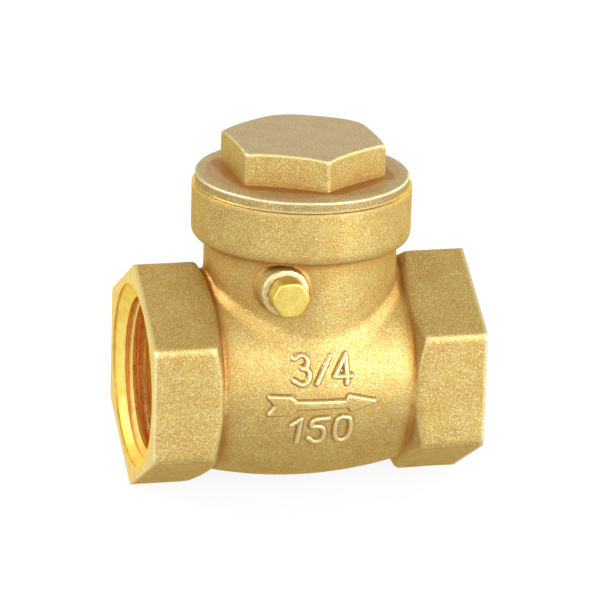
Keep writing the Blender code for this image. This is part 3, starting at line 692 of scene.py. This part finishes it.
def passageCutters():
    # The inlet's bore, the chamber with the seat left standing, the neck and the pin's hole.
    p = passageSizes
    minor, portEnd, boreRadius = portSizes["Minor radius"], p["portEnd"], p["boreRadius"]
    start = [(0, portEnd + overlap), (minor, portEnd + overlap)]
    cone = between((minor, portEnd), (boreRadius, p["taperEnd"]), 10)
    bore = between((boreRadius, p["taperEnd"]), (boreRadius, p["boreCutEnd"]), 11)[1:]
    inlet = turned("inletBore", [*start, *cone, *bore, (0, p["boreCutEnd"])], 96, halfTurn @ alongFlow)
    room = [(minor, portEnd), (p["chamberRadius"], p["chamberEnd"]), (p["chamberRadius"], p["seatFoot"])]
    seat = [(p["seatFootRadius"], p["seatFoot"]), (p["seatRadius"], p["seatFace"]), (0, p["seatFace"])]
    chamber = turned("chamber", [*start, *room, *seat], 96, alongFlow)

    gasket = [(p["gasketRadius"], p["neckCutHigh"]), (p["gasketRadius"], p["gasketFloor"])]
    skirt = [(p["skirtRadius"], p["gasketFloor"]), (p["skirtRadius"], p["skirtFloor"])]
    neck = [(p["neckRadius"], p["skirtFloor"]), (p["neckRadius"], p["neckCutLow"])]
    profile = [(0, p["neckCutHigh"]), *gasket, *skirt, *neck, (0, p["neckCutLow"])]
    neckHollow = turned("neckHollow", profile, 96)
    carve(neckHollow, [brick("seatWall", *seatWallBox)])

    h = pinHoleSizes
    spotFace = [(h["spotFaceRadius"], h["cutEnd"]), (h["spotFaceRadius"], h["spotFace"])]
    plugHole = [(h["plugHoleRadius"], h["spotFace"]), (h["plugHoleRadius"], h["plugHoleEnd"])]
    pinHole = [(h["pinHoleRadius"], h["plugHoleEnd"]), (h["pinHoleRadius"], h["pinHoleEnd"])]
    profile = [(0, h["cutEnd"]), *spotFace, *plugHole, *pinHole, (0, h["pinHoleEnd"])]
    place = Matrix.Translation((pinPlace[0], 0, pinPlace[1])) @ Matrix.Rotation(math.pi / 2, 4, "X")
    return [inlet, chamber, neckHollow, turned("plugHole", profile, 48, place)]


bodyMetals = ("machinedBrass", "shadedThreadBrass", "chamferBrass", "litFlankBrass")  # the slots after the cast one
finishZones = {  # where the finishes meet: places along the flow, and radii
    "mouthFrom": 25.4,
    "mouthRadius": 14.7,
    "lipRadius": 14.4,
    "chamferRadius": 13.3,
    "landFrom": 24.7,
    "landInner": 12.3,
    "landOuter": 13.6,
    "threadFrom": 13.4,
    "threadRadius": 14.6,
    "seatFrom": -13.6,
    "seatTo": -5.5,
    "seatRadius": 12.3,
}


def bodyFinish(middles, normals):
    x, y, z = middles.T
    ax, r = np.abs(x), np.hypot(y, z)
    outward = normals[:, 0] * np.sign(x)  # 1 where a face looks straight out of its port
    steep = np.abs(outward) > 0.3
    zone = finishZones
    ends = (ax > bodySizes["Half length"] - 0.05) & (np.abs(outward) > 0.9)
    rim = steep & (r > zone["chamferRadius"]) | (r > zone["lipRadius"])
    mouth = (ax > zone["mouthFrom"]) & (r < zone["mouthRadius"]) & rim & ~ends
    land = (ax > zone["landFrom"]) & (r > zone["landInner"]) & (r < zone["landOuter"]) & steep & ~mouth
    # The thread gets the shaded copy of the brass, as painted shade, and its crests and the flanks that
    # face out of the port get the lit copy, as painted light.
    thread = (ax > zone["threadFrom"]) & (r < zone["threadRadius"]) & ~mouth & ~land & ~ends
    litFlank = thread & ((outward > 0.45) | (r < portSizes["Minor radius"] + 0.05))
    seat = (x > zone["seatFrom"]) & (x < zone["seatTo"]) & (r < zone["seatRadius"])
    collarFace = (z > collarTop - 0.1) & (normals[:, 2] > 0.9)
    slots = np.zeros(len(middles))
    painted = {
        "machinedBrass": ends | seat | collarFace,
        "shadedThreadBrass": thread,
        "litFlankBrass": litFlank,
        "chamferBrass": mouth | land,
    }
    for name, faces in painted.items():
        slots[faces] = 1 + bodyMetals.index(name)
    return slots


def makeBody():
    body = settle(grow("castBody", castBodyTree(), bodySizes))
    print("cast body skinned:", len(body.data.polygons), "faces")
    carve(body, flatCutters() + portCutters() + passageCutters())
    shape = bmesh.new()
    shape.from_mesh(body.data)
    bmesh.ops.dissolve_degenerate(shape, edges=shape.edges, dist=sliver * millimetre)
    shape.to_mesh(body.data)
    shape.free()
    setMaterials(body, castBrass, *(metals[name] for name in bodyMetals))
    paintFaces(body, bodyFinish)
    markEdges(body)
    handOver(body, "valve_body", "cast_brass", "body")


makeBody()


capSizes = {
    "Hex inradius": 11.5,
    "Hex turn": math.radians(-26.5),
    "Bottom": 32.2,
    "Top": 38.42,
    "Chamfer angle": math.radians(20.0),
    "Chamfer start": 11.8,
    "Edge round": 0.7,
    "Top round": 0.5,
}
capVoxel = 0.2
capBox = ((-14.0, -14.0, 31.8), (14.0, 14.0, 39.0))
domeBlend = 0.4  # between the hexagon's top face and its turned edge
flangeSizes = {  # radii and heights of the round flange and of the skirt under it
    "radius": 16.87,
    "bottom": 30.70,
    "middle": 33.3,
    "slopeStart": (11.2, 33.16),
    "slopeEnd": (16.2, 32.63),
    "upperEdge": ((0.35, 32.58), (0.12, 32.51), (0.02, 32.38)),  # how far in, and how high
    "rimHeights": (32.25, 32.0, 31.7, 31.4, 31.1, 30.9),
    "rimTop": 32.5,
    "skirtRadius": 13.3,
    "skirtBottom": 23.46,
}
capHollow = [  # the room over the hinge, as (radius, height)
    (0, 35.458), (7.6, 35.458), (8.5, 35.1), (8.9, 34.2),
    (8.9, 30.958), (10.7, 23.3), (10.7, 20), (0, 20),
]


def capHeadTree():
    tree, _, sizes = newTree("capHead", capSizes)
    _, (x, y, z) = position(tree)
    q = hypot(x, y)
    cosine, sine = sizes["Hex turn"].math("COSINE"), sizes["Hex turn"].math("SINE")
    u = abs(x * cosine + y * sine)
    v = abs(y * cosine - x * sine)
    flats = smoothMax(v, v * 0.5 + u * math.sqrt(0.75), sizes["Edge round"]) - sizes["Hex inradius"]
    lean = sizes["Chamfer angle"]
    dome = (z - sizes["Top"]) * lean.math("COSINE") + (q - sizes["Chamfer start"]) * lean.math("SINE")
    head = smoothMax(flats, smoothMax(z - sizes["Top"], dome, domeBlend), sizes["Top round"])
    head = head.math("MAXIMUM", sizes["Bottom"] - z)
    skinOf(tree, head, capBox, capVoxel, capBrass)
    return tree


def capFinish(middles, normals):
    # The faces that look up are greyer, the sides look like the body, the flange's rim is dull, and
    # what lies under it is machined.
    z, upward = middles[:, 2], normals[:, 2]
    slots = np.where(upward > 0.75, 0, 1)
    slots[(upward < 0.3) & (z < flangeSizes["rimTop"])] = 2
    slots[z < flangeSizes["bottom"] - 0.1] = 3
    return slots


def makeCap():
    head = settle(grow("capHead", capHeadTree(), capSizes))
    f = flangeSizes
    r, bottom = f["radius"], f["bottom"]
    slope = between(f["slopeStart"], f["slopeEnd"], 10)
    upperEdge = [(r - inwards, height) for inwards, height in f["upperEdge"]]
    rim = [(r, height) for height in f["rimHeights"]]
    lowerEdge = [(r - 0.05, bottom + 0.08), (r - 0.15, bottom)]
    skirtRadius, skirtBottom = f["skirtRadius"], f["skirtBottom"]
    skirt = [(skirtRadius + 0.1, bottom), (skirtRadius, bottom - 0.3), (skirtRadius, skirtBottom + 0.24)]
    skirtEnd = [(skirtRadius - 0.2, skirtBottom), (0, skirtBottom)]
    profile = [(0, f["middle"]), *slope, *upperEdge, *rim, *lowerEdge, *skirt, *skirtEnd]
    cap = turned("screwedCap", profile, 192)
    carve(cap, [head], "UNION")
    carve(cap, [turned("capHollow", capHollow, 96)])
    setMaterials(cap, capBrass, capSideBrass, rimBrass, metals["machinedBrass"])
    paintFaces(cap, capFinish)
    markEdges(cap)
    handOver(cap, "valve_body", "cap_brass", "cap")


makeCap()


plugSizes = {
    "Head inradius": 2.8,
    "Head radius": 2.97,
    "Head turn": math.radians(2.0),
    "Head base": 16.56,
    "Head top": 19.75,
    "Shank radius": 2.0,
    "Shank end": 12.9,
    "Shank top": 17.0,
}
plugVoxel = 0.1
plugBox = ((-9.8, -20.6, 14.2), (-2.6, -12.4, 21.5))
plugBlends = {"corner": 0.3, "turned": 0.25, "top": 0.6, "base": 0.3, "shank": 0.2}


def pinPlugTree():
    tree, _, sizes = newTree("pinPlug", plugSizes)
    _, (x, y, z) = position(tree)
    along = -y
    u, v = x - pinPlace[0], z - pinPlace[1]
    cosine, sine = sizes["Head turn"].math("COSINE"), sizes["Head turn"].math("SINE")
    a = abs(u * cosine + v * sine)
    b = abs(v * cosine - u * sine)
    blends = plugBlends
    hexagon = smoothMax(b, b * 0.5 + a * math.sqrt(0.75), blends["corner"]) - sizes["Head inradius"]
    rounded = smoothMax(hexagon, hypot(u, v) - sizes["Head radius"], blends["turned"])
    head = smoothMax(rounded, along - sizes["Head top"], blends["top"])
    head = smoothMax(head, sizes["Head base"] - along, blends["base"])
    shank = (hypot(u, v) - sizes["Shank radius"]).math("MAXIMUM", sizes["Shank end"] - along)
    shank = shank.math("MAXIMUM", along - sizes["Shank top"])
    skinOf(tree, smoothMin(head, shank, blends["shank"]), plugBox, plugVoxel, metals["plugBrass"])
    return tree


def makePlug():
    plug = settle(grow("pinPlug", pinPlugTree(), plugSizes))
    markEdges(plug)
    handOver(plug, "valve_body", "bar_brass", "pin_plug")


makePlug()


# Each mark is a line of points across the belly, as (x, z) in millimetres. The round ones have their
# corners cut, and the arrow is made of faces.
numerals = {
    "bar": [(1.2, 7.3), (-1.0, 3.1)],
    "four": [(3.85, 2.9), (3.72, 7.4), (1.85, 4.1), (4.6, 4.0)],
    "one": [(-4.9, -3.65), (-3.45, -2.65), (-3.75, -6.75)],
}
roundNumerals = {
    "three": [
        (-4.5, 7.0), (-3.4, 7.7), (-2.3, 7.0), (-2.5, 5.7), (-3.6, 5.55),
        (-2.2, 5.3), (-2.2, 3.6), (-3.4, 2.9), (-4.65, 3.7),
    ],
    "five": [
        (0.95, -2.75), (-1.55, -2.8), (-1.8, -4.2), (-0.4, -4.0),
        (0.55, -4.8), (0.4, -6.7), (-1.0, -7.1), (-1.95, -6.2),
    ],
    "nought": [
        (3.3, -2.65), (4.6, -2.9), (4.85, -5.0), (4.3, -6.9),
        (2.7, -7.0), (2.1, -5.2), (2.35, -3.0), (3.3, -2.65),
    ],
}
arrowFaces = [
    [(-8.5, 1.15), (-7.3, -0.1), (-4.6, -0.1), (-4.6, 0.40), (-5.2, 0.95)],
    [(-8.5, -1.55), (-5.2, -1.55), (-4.5, -0.85), (-4.6, -0.1), (-7.3, -0.1)],
    [(-4.6, 0.10), (-4.6, -0.62), (4.1, -0.68), (3.8, -0.10)],
    [(3.8, -0.15), (4.1, -0.6), (4.75, -1.35), (8.4, -0.37), (4.25, 0.75)],
]
markSizes = {
    "Stroke half width": 0.52,
    "Height": 0.60,
    "Edge round": 0.45,
    "Draft": 0.60,
    "Belly radius": bodySizes["Belly radius"],
    "Belly crown": bodySizes["Belly crown"],
    "Shoulder": bodySizes["Shoulder"],
}
marksVoxel = 0.115
marksBox = ((-10.0, -18.6, -8.4), (10.0, -14.4, 8.9))
# sink and widen shape the marks' foot; the last two give the painted shade at their feet and how high it
# reaches
markFoot = {"sink": 0.3, "widen": 0.08, "footShade": 0.40, "footShadeHeight": 0.34}


def cutCorners(points, times=3):
    # Each corner gives way to two points a quarter of the way along its sides. The ends stay.
    for _ in range(times):
        softer = [points[0]]
        for (ax, az), (bx, bz) in zip(points, points[1:]):
            softer.append((ax * 0.75 + bx * 0.25, az * 0.75 + bz * 0.25))
            softer.append((ax * 0.25 + bx * 0.75, az * 0.25 + bz * 0.75))
        points = softer + [points[-1]]
    return points


def castMarksTree():
    tree, strokes, sizes = newTree("castMarks", markSizes)
    _, (x, y, z) = position(tree)
    flat = addNode(tree, "ShaderNodeCombineXYZ", {"X": x, "Y": 0.0, "Z": z}).outputs[0]
    values = {"Geometry": strokes, "Sample Position": flat}
    toLines = addNode(tree, "GeometryNodeProximity", values, target_element="EDGES")
    toFaces = addNode(tree, "GeometryNodeProximity", values, target_element="FACES")
    toLine, toFace = (Wire(tree, node.outputs["Distance"]) for node in (toLines, toFaces))
    height = bellyHeight(hypot(y, z), abs(x), sizes)
    away = toLine.math("MINIMUM", toFace)
    side = away - sizes["Stroke half width"] + height * sizes["Draft"] - markFoot["widen"]
    mark = smoothMax(side, height - sizes["Height"], sizes["Edge round"])
    mark = mark.math("MAXIMUM", -height - markFoot["sink"])
    skinOf(tree, mark, marksBox, marksVoxel, castBrass)
    return tree


def darkenFoot(marks):
    # Painted shade at the feet of the raised marks: the crease value falls towards the belly.
    mesh = marks.data
    x, y, z = rowsOf(mesh.vertices, "co").T / millimetre
    crown = (markSizes["Shoulder"] ** 2 / markSizes["Belly crown"] + markSizes["Belly crown"]) / 2
    height = np.hypot(y, z) - markSizes["Belly radius"] + crown - np.sqrt(crown ** 2 - x ** 2)
    hollow = -markFoot["footShade"] * np.clip(1.0 - height / markFoot["footShadeHeight"], 0.0, 1.0)
    mesh.attributes["hollow"].data.foreach_set("value", hollow.astype(np.float32))


def makeMarks():
    drawing = bmesh.new()
    for line in [*numerals.values(), *map(cutCorners, roundNumerals.values())]:
        points = [drawing.verts.new((x, 0, z)) for x, z in line]
        for a, b in zip(points, points[1:]):
            drawing.edges.new((a, b))
    for outline in arrowFaces:
        drawing.faces.new([drawing.verts.new((x, 0, z)) for x, z in outline])
    bmesh.ops.triangulate(drawing, faces=drawing.faces)
    mesh = bpy.data.meshes.new("strokes")
    drawing.to_mesh(mesh)
    drawing.free()
    marks = settle(grow("castMarks", castMarksTree(), markSizes, mesh))
    markEdges(marks, 0.8)
    darkenFoot(marks)
    handOver(marks, "valve_body", "cast_brass")


makeMarks()


discSizes = {  # radii, and places along the flow
    "holderBack": -2.6,
    "holderFront": -5.9,
    "holderRadius": 11.5,
    "pocketRadius": 10.7,
    "pocketFloor": -4.1,
    "stemRadius": 2.2,
    "threadRadius": 2.42,
    "threadPitch": 0.7,
    "threadDepth": 0.38,
    "stemEnd": 4.5,
    "plainEnd": 0.4,
    "sealRadius": 10.4,
    "sealBack": -4.4,
    "sealFront": -6.2,
    "plateRadius": 6.0,
    "plateBack": -6.5,
    "plateFront": -7.3,
    "screwRadius": 1.1,
    "screwEnd": -1.1,
    "headRadius": 2.6,
    "headBack": -7.6,
    "headFront": -8.9,
    "slotFloor": -8.3,
    "slotHalfWidth": 0.3,
    "nutInradius": 4.0,
    "nutBack": 4.0,
    "nutFront": 1.2,
    "nutBore": 2.5,
    "washerRadius": 4.7,
    "washerBack": 0.9,
    "washerFront": 0.2,
}


def threadedRod(name, radius, low, high, place, edge=0.4):
    rows = round((high - low) / discSizes["threadPitch"] * 10)  # ten to a turn
    heights = [high - (high - low) * row / rows for row in range(rows + 1)]
    shape = [(radius - max(0.0, edge - (high - height)), height) for height in heights]
    profile = [(0, high), *shape, (0, low)]
    return turned(name, profile, 48, place, discSizes["threadPitch"], discSizes["threadDepth"])


def makeHolder():
    d = discSizes
    back, front, r = d["holderBack"], d["holderFront"], d["holderRadius"]
    stemRadius, pocketRadius, floor = d["stemRadius"], d["pocketRadius"], d["pocketFloor"]
    stem = [(0, d["plainEnd"]), (stemRadius, d["plainEnd"]), (stemRadius, back + 0.5)]
    stemFoot = [(stemRadius + 0.15, back + 0.15), (stemRadius + 0.5, back)]
    cup = [(r - 0.6, back), (r - 0.2, back - 0.15), (r, back - 0.5), (r, front + 0.2), (r - 0.15, front)]
    pocketEdge = [(pocketRadius + 0.15, front), (pocketRadius, front + 0.15)]
    pocket = [(pocketRadius, floor), (0, floor)]
    holder = turned("discHolder", stem + stemFoot + cup + pocketEdge + pocket, 128, alongFlow)
    carve(holder, [threadedRod("stemThread", d["threadRadius"], 0.0, d["stemEnd"], alongFlow)], "UNION")
    setMaterials(holder, metals["machinedBrass"])
    markEdges(holder)
    handOver(holder, "disc", "bar_brass", "disc_holder")


def makeSeal():
    d = discSizes
    hole = d["screwRadius"] + 0.25
    r, back, front = d["sealRadius"], d["sealBack"], d["sealFront"]
    upper = [(hole, back), (r - 0.2, back), (r, back - 0.2)]
    lower = [(r, front + 0.3), (r - 0.1, front + 0.1), (r - 0.3, front), (hole, front)]
    seal = turned("discSeal", upper + lower, 128, alongFlow)
    setMaterials(seal, softs["sealRubber"])
    handOver(seal, "disc", "seal_rubber", "disc_seal")

    r, back, front = d["plateRadius"], d["plateBack"], d["plateFront"]
    upper = [(hole, back), (r - 0.15, back), (r, back - 0.12)]
    lower = [(r, front + 0.2), (r - 0.2, front), (hole + 0.15, front), (hole, front + 0.15)]
    washer = turned("sealWasher", upper + lower, 96, alongFlow)
    setMaterials(washer, metals["turnedSteel"])
    handOver(washer, "disc", "steel", "seal_washer")


def makeScrew():
    d = discSizes
    r, end, head, back = d["screwRadius"], d["screwEnd"], d["headRadius"], d["headBack"]
    shank = [(0, end), (r - 0.2, end), (r, end - 0.2), (r, back)]
    side = [(head - 0.1, back), (head, back - 0.1), (head, back - 0.75)]
    dome = [(head - 0.12, -8.6), (head - 0.4, -8.78), (head - 1.0, -8.87), (0, d["headFront"])]
    screw = turned("sealScrew", shank + side + dome, 64, alongFlow)
    half = d["slotHalfWidth"]
    carve(screw, [brick("screwSlot", (-10.0, -half, -4.0), (d["slotFloor"], half, 4.0))])
    setMaterials(screw, metals["turnedSteel"])
    handOver(screw, "disc", "steel", "seal_screw")


def makeNut():
    d = discSizes
    bore, r, back, front = d["nutBore"], d["washerRadius"], d["washerBack"], d["washerFront"]
    upper = [(bore, back), (r - 0.15, back), (r, back - 0.12)]
    lower = [(r, front + 0.12), (r - 0.15, front), (bore, front)]
    washer = turned("stemWasher", upper + lower, 64, alongFlow)
    setMaterials(washer, metals["turnedSteel"])
    handOver(washer, "disc", "steel", "stem_washer")

    inradius, back, front = d["nutInradius"], d["nutBack"], d["nutFront"]
    corner = inradius / math.cos(math.pi / 6)
    prism = [(0, back), (corner, back), (corner, front), (0, front)]
    nut = turned("stemNut", prism, 6, alongFlow @ Matrix.Rotation(math.pi / 6, 4, "Z"))
    upper = [(0, back), (inradius, back), (corner + 0.1, back - 0.35)]
    lower = [(corner + 0.1, front + 0.3), (inradius + 0.05, front), (0, front)]
    carve(nut, [turned("nutBevel", upper + lower, 96, alongFlow)], "INTERSECT")
    wide = bore + 0.35  # the thread's bevelled mouths
    upper = [(0, back + 2), (wide, back + 2), (wide, back), (bore, back - 0.3)]
    lower = [(bore, front + 0.3), (wide, front), (wide, 0), (0, 0)]
    carve(nut, [turned("nutMouth", upper + lower, 48, alongFlow)])
    setMaterials(nut, metals["machinedBrass"])
    markEdges(nut)
    handOver(nut, "disc", "bar_brass", "stem_nut")


makeHolder()
makeSeal()
makeScrew()
makeNut()

hangerSizes = {"voxel": 0.2, "smoothing": 8, "mergeMetres": 1e-6}


def makeHanger():
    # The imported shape, with the soft corners of a casting.
    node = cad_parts["hanger"]
    mesh = node.data.copy()
    mesh.transform(node.matrix_world)
    shape = bmesh.new()
    shape.from_mesh(mesh)
    bmesh.ops.remove_doubles(shape, verts=shape.verts, dist=hangerSizes["mergeMetres"])
    shape.to_mesh(mesh)
    shape.free()
    hanger = objectFrom("castHanger", mesh)
    remesh = hanger.modifiers.new("evenMesh", "REMESH")
    remesh.mode = "VOXEL"
    remesh.voxel_size = hangerSizes["voxel"] * millimetre
    soften = hanger.modifiers.new("softCorners", "SMOOTH")
    soften.factor = 0.5
    soften.iterations = hangerSizes["smoothing"]
    settle(hanger)
    setMaterials(hanger, castBrass)
    markEdges(hanger)
    handOver(hanger, "hanger", "hanger_brass", "hanger")


makeHanger()

nodeFinish = {
    "cap_gasket": softs["pressedFibre"],
    "plug_washer": softs["pressedFibre"],
    "hinge_pin": metals["turnedSteel"],
}
for node, finish in nodeFinish.items():
    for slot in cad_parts[node].material_slots:
        slot.material = finish
print("inner pieces finished")


studio = {
    "floorSize": 3.0,
    "floorHeight": -18.5,
    "skyForLight": 0.5,
    "floorGlow": 0.88,
    "lampColour": (0.86, 1.0, 1.35),
    "lamps": {  # place and width in metres, power in watts
        "frontRight": ((0.45, -0.70, 0.20), 0.50, 7.7),
        "frontLeft": ((-0.55, -0.65, 0.20), 0.50, 3.5),
        "frontHigh": ((0.05, -0.70, 0.55), 0.50, 2.1),
        "right": ((0.80, -0.20, 0.20), 0.50, 2.7),
        "rightBack": ((0.75, 0.40, 0.30), 0.50, 4.5),
        "leftBack": ((-0.68, 0.18, 0.49), 0.40, 7.6),
    },
}


def whiteToEye(tree, output, seen, other):
    # The first shader where the camera, gloss or glass looks, and the other one for all other light.
    path = tree.nodes.new("ShaderNodeLightPath")
    rays = ("Is Camera Ray", "Is Glossy Ray", "Is Transmission Ray")
    camera, gloss, glass = (Wire(tree, path.outputs[name]) for name in rays)
    direct = camera.math("MAXIMUM", gloss).math("MAXIMUM", glass)
    mix = tree.nodes.new("ShaderNodeMixShader")
    tree.links.new(direct.socket, mix.inputs[0])
    tree.links.new(other, mix.inputs[1])
    tree.links.new(seen, mix.inputs[2])
    tree.links.new(mix.outputs[0], output)


def makeStudio():
    world = bpy.data.worlds.new("paleRoom")
    scene.world = world
    world.use_nodes = True
    tree = world.node_tree
    dim = tree.nodes["Background"]
    dim.inputs["Color"].default_value = (1, 1, 1, 1)
    dim.inputs["Strength"].default_value = studio["skyForLight"]
    white = addNode(tree, "ShaderNodeBackground", {"Color": (1, 1, 1, 1), "Strength": 1.0})
    whiteToEye(tree, tree.nodes["World Output"].inputs[0], white.outputs[0], dim.outputs[0])

    half = studio["floorSize"] / 2
    height = studio["floorHeight"] * millimetre
    mesh = bpy.data.meshes.new("floor")
    corners = [(x * half, y * half, height) for x, y in ((-1, -1), (1, -1), (1, 1), (-1, 1))]
    mesh.from_pydata(corners, [], [(0, 1, 2, 3)])
    floor = objectFrom("floor", mesh)
    material, tree, shader, _ = newMaterial("paleFloor")
    shader.inputs["Base Color"].default_value = (0.9, 0.9, 0.9, 1)
    shader.inputs["Roughness"].default_value = 0.8
    glow = addNode(tree, "ShaderNodeEmission", {"Color": (1, 1, 1, 1), "Strength": 1.0})
    soft = addNode(tree, "ShaderNodeMixShader", {0: studio["floorGlow"]})
    tree.links.new(shader.outputs[0], soft.inputs[1])
    tree.links.new(glow.outputs[0], soft.inputs[2])
    whiteToEye(tree, tree.nodes["Material Output"].inputs[0], soft.outputs[0], shader.outputs[0])
    setMaterials(floor, material)

    for name, (place, size, power) in studio["lamps"].items():
        lamp = bpy.data.lights.new(name + "Lamp", "AREA")
        lamp.shape = "DISK"
        lamp.size = size
        lamp.energy = power
        lamp.color = studio["lampColour"]
        holder = bpy.data.objects.new(name + "Lamp", lamp)
        scene.collection.objects.link(holder)
        holder.location = place
        holder.rotation_euler = (-Vector(place)).to_track_quat("-Z", "Y").to_euler()


view = {  # degrees, then millimetres, then the focal length and the photograph's width in pixels
    "azimuth": -14.58,
    "elevation": 18.6,
    "roll": 1.72,
    "distance": 733.2,
    "right": 0.56,
    "up": 10.53,
    "focal": 4597.65,
    "frame": 600.0,
    "sensor": 36.0,
}


def makeCamera():
    a, e, roll = (math.radians(view[name]) for name in ("azimuth", "elevation", "roll"))
    back = Vector((math.sin(a) * math.cos(e), -math.cos(a) * math.cos(e), math.sin(e)))
    levelRight = Vector((math.cos(a), math.sin(a), 0.0))
    levelUp = back.cross(levelRight)
    right = math.cos(roll) * levelRight + math.sin(roll) * levelUp
    up = -math.sin(roll) * levelRight + math.cos(roll) * levelUp
    place = (back * view["distance"] + right * view["right"] + up * view["up"]) * millimetre
    lens = bpy.data.cameras.new("photographer")
    lens.sensor_width = view["sensor"]
    lens.lens = view["focal"] * view["sensor"] / view["frame"]
    lens.clip_start = 0.01
    camera = bpy.data.objects.new("photographer", lens)
    scene.collection.objects.link(camera)
    camera.matrix_world = Matrix.Translation(place) @ Matrix((right, up, back)).transposed().to_4x4()
    scene.camera = camera


makeStudio()
makeCamera()
scene.view_settings.view_transform = "Standard"
print("studio set")
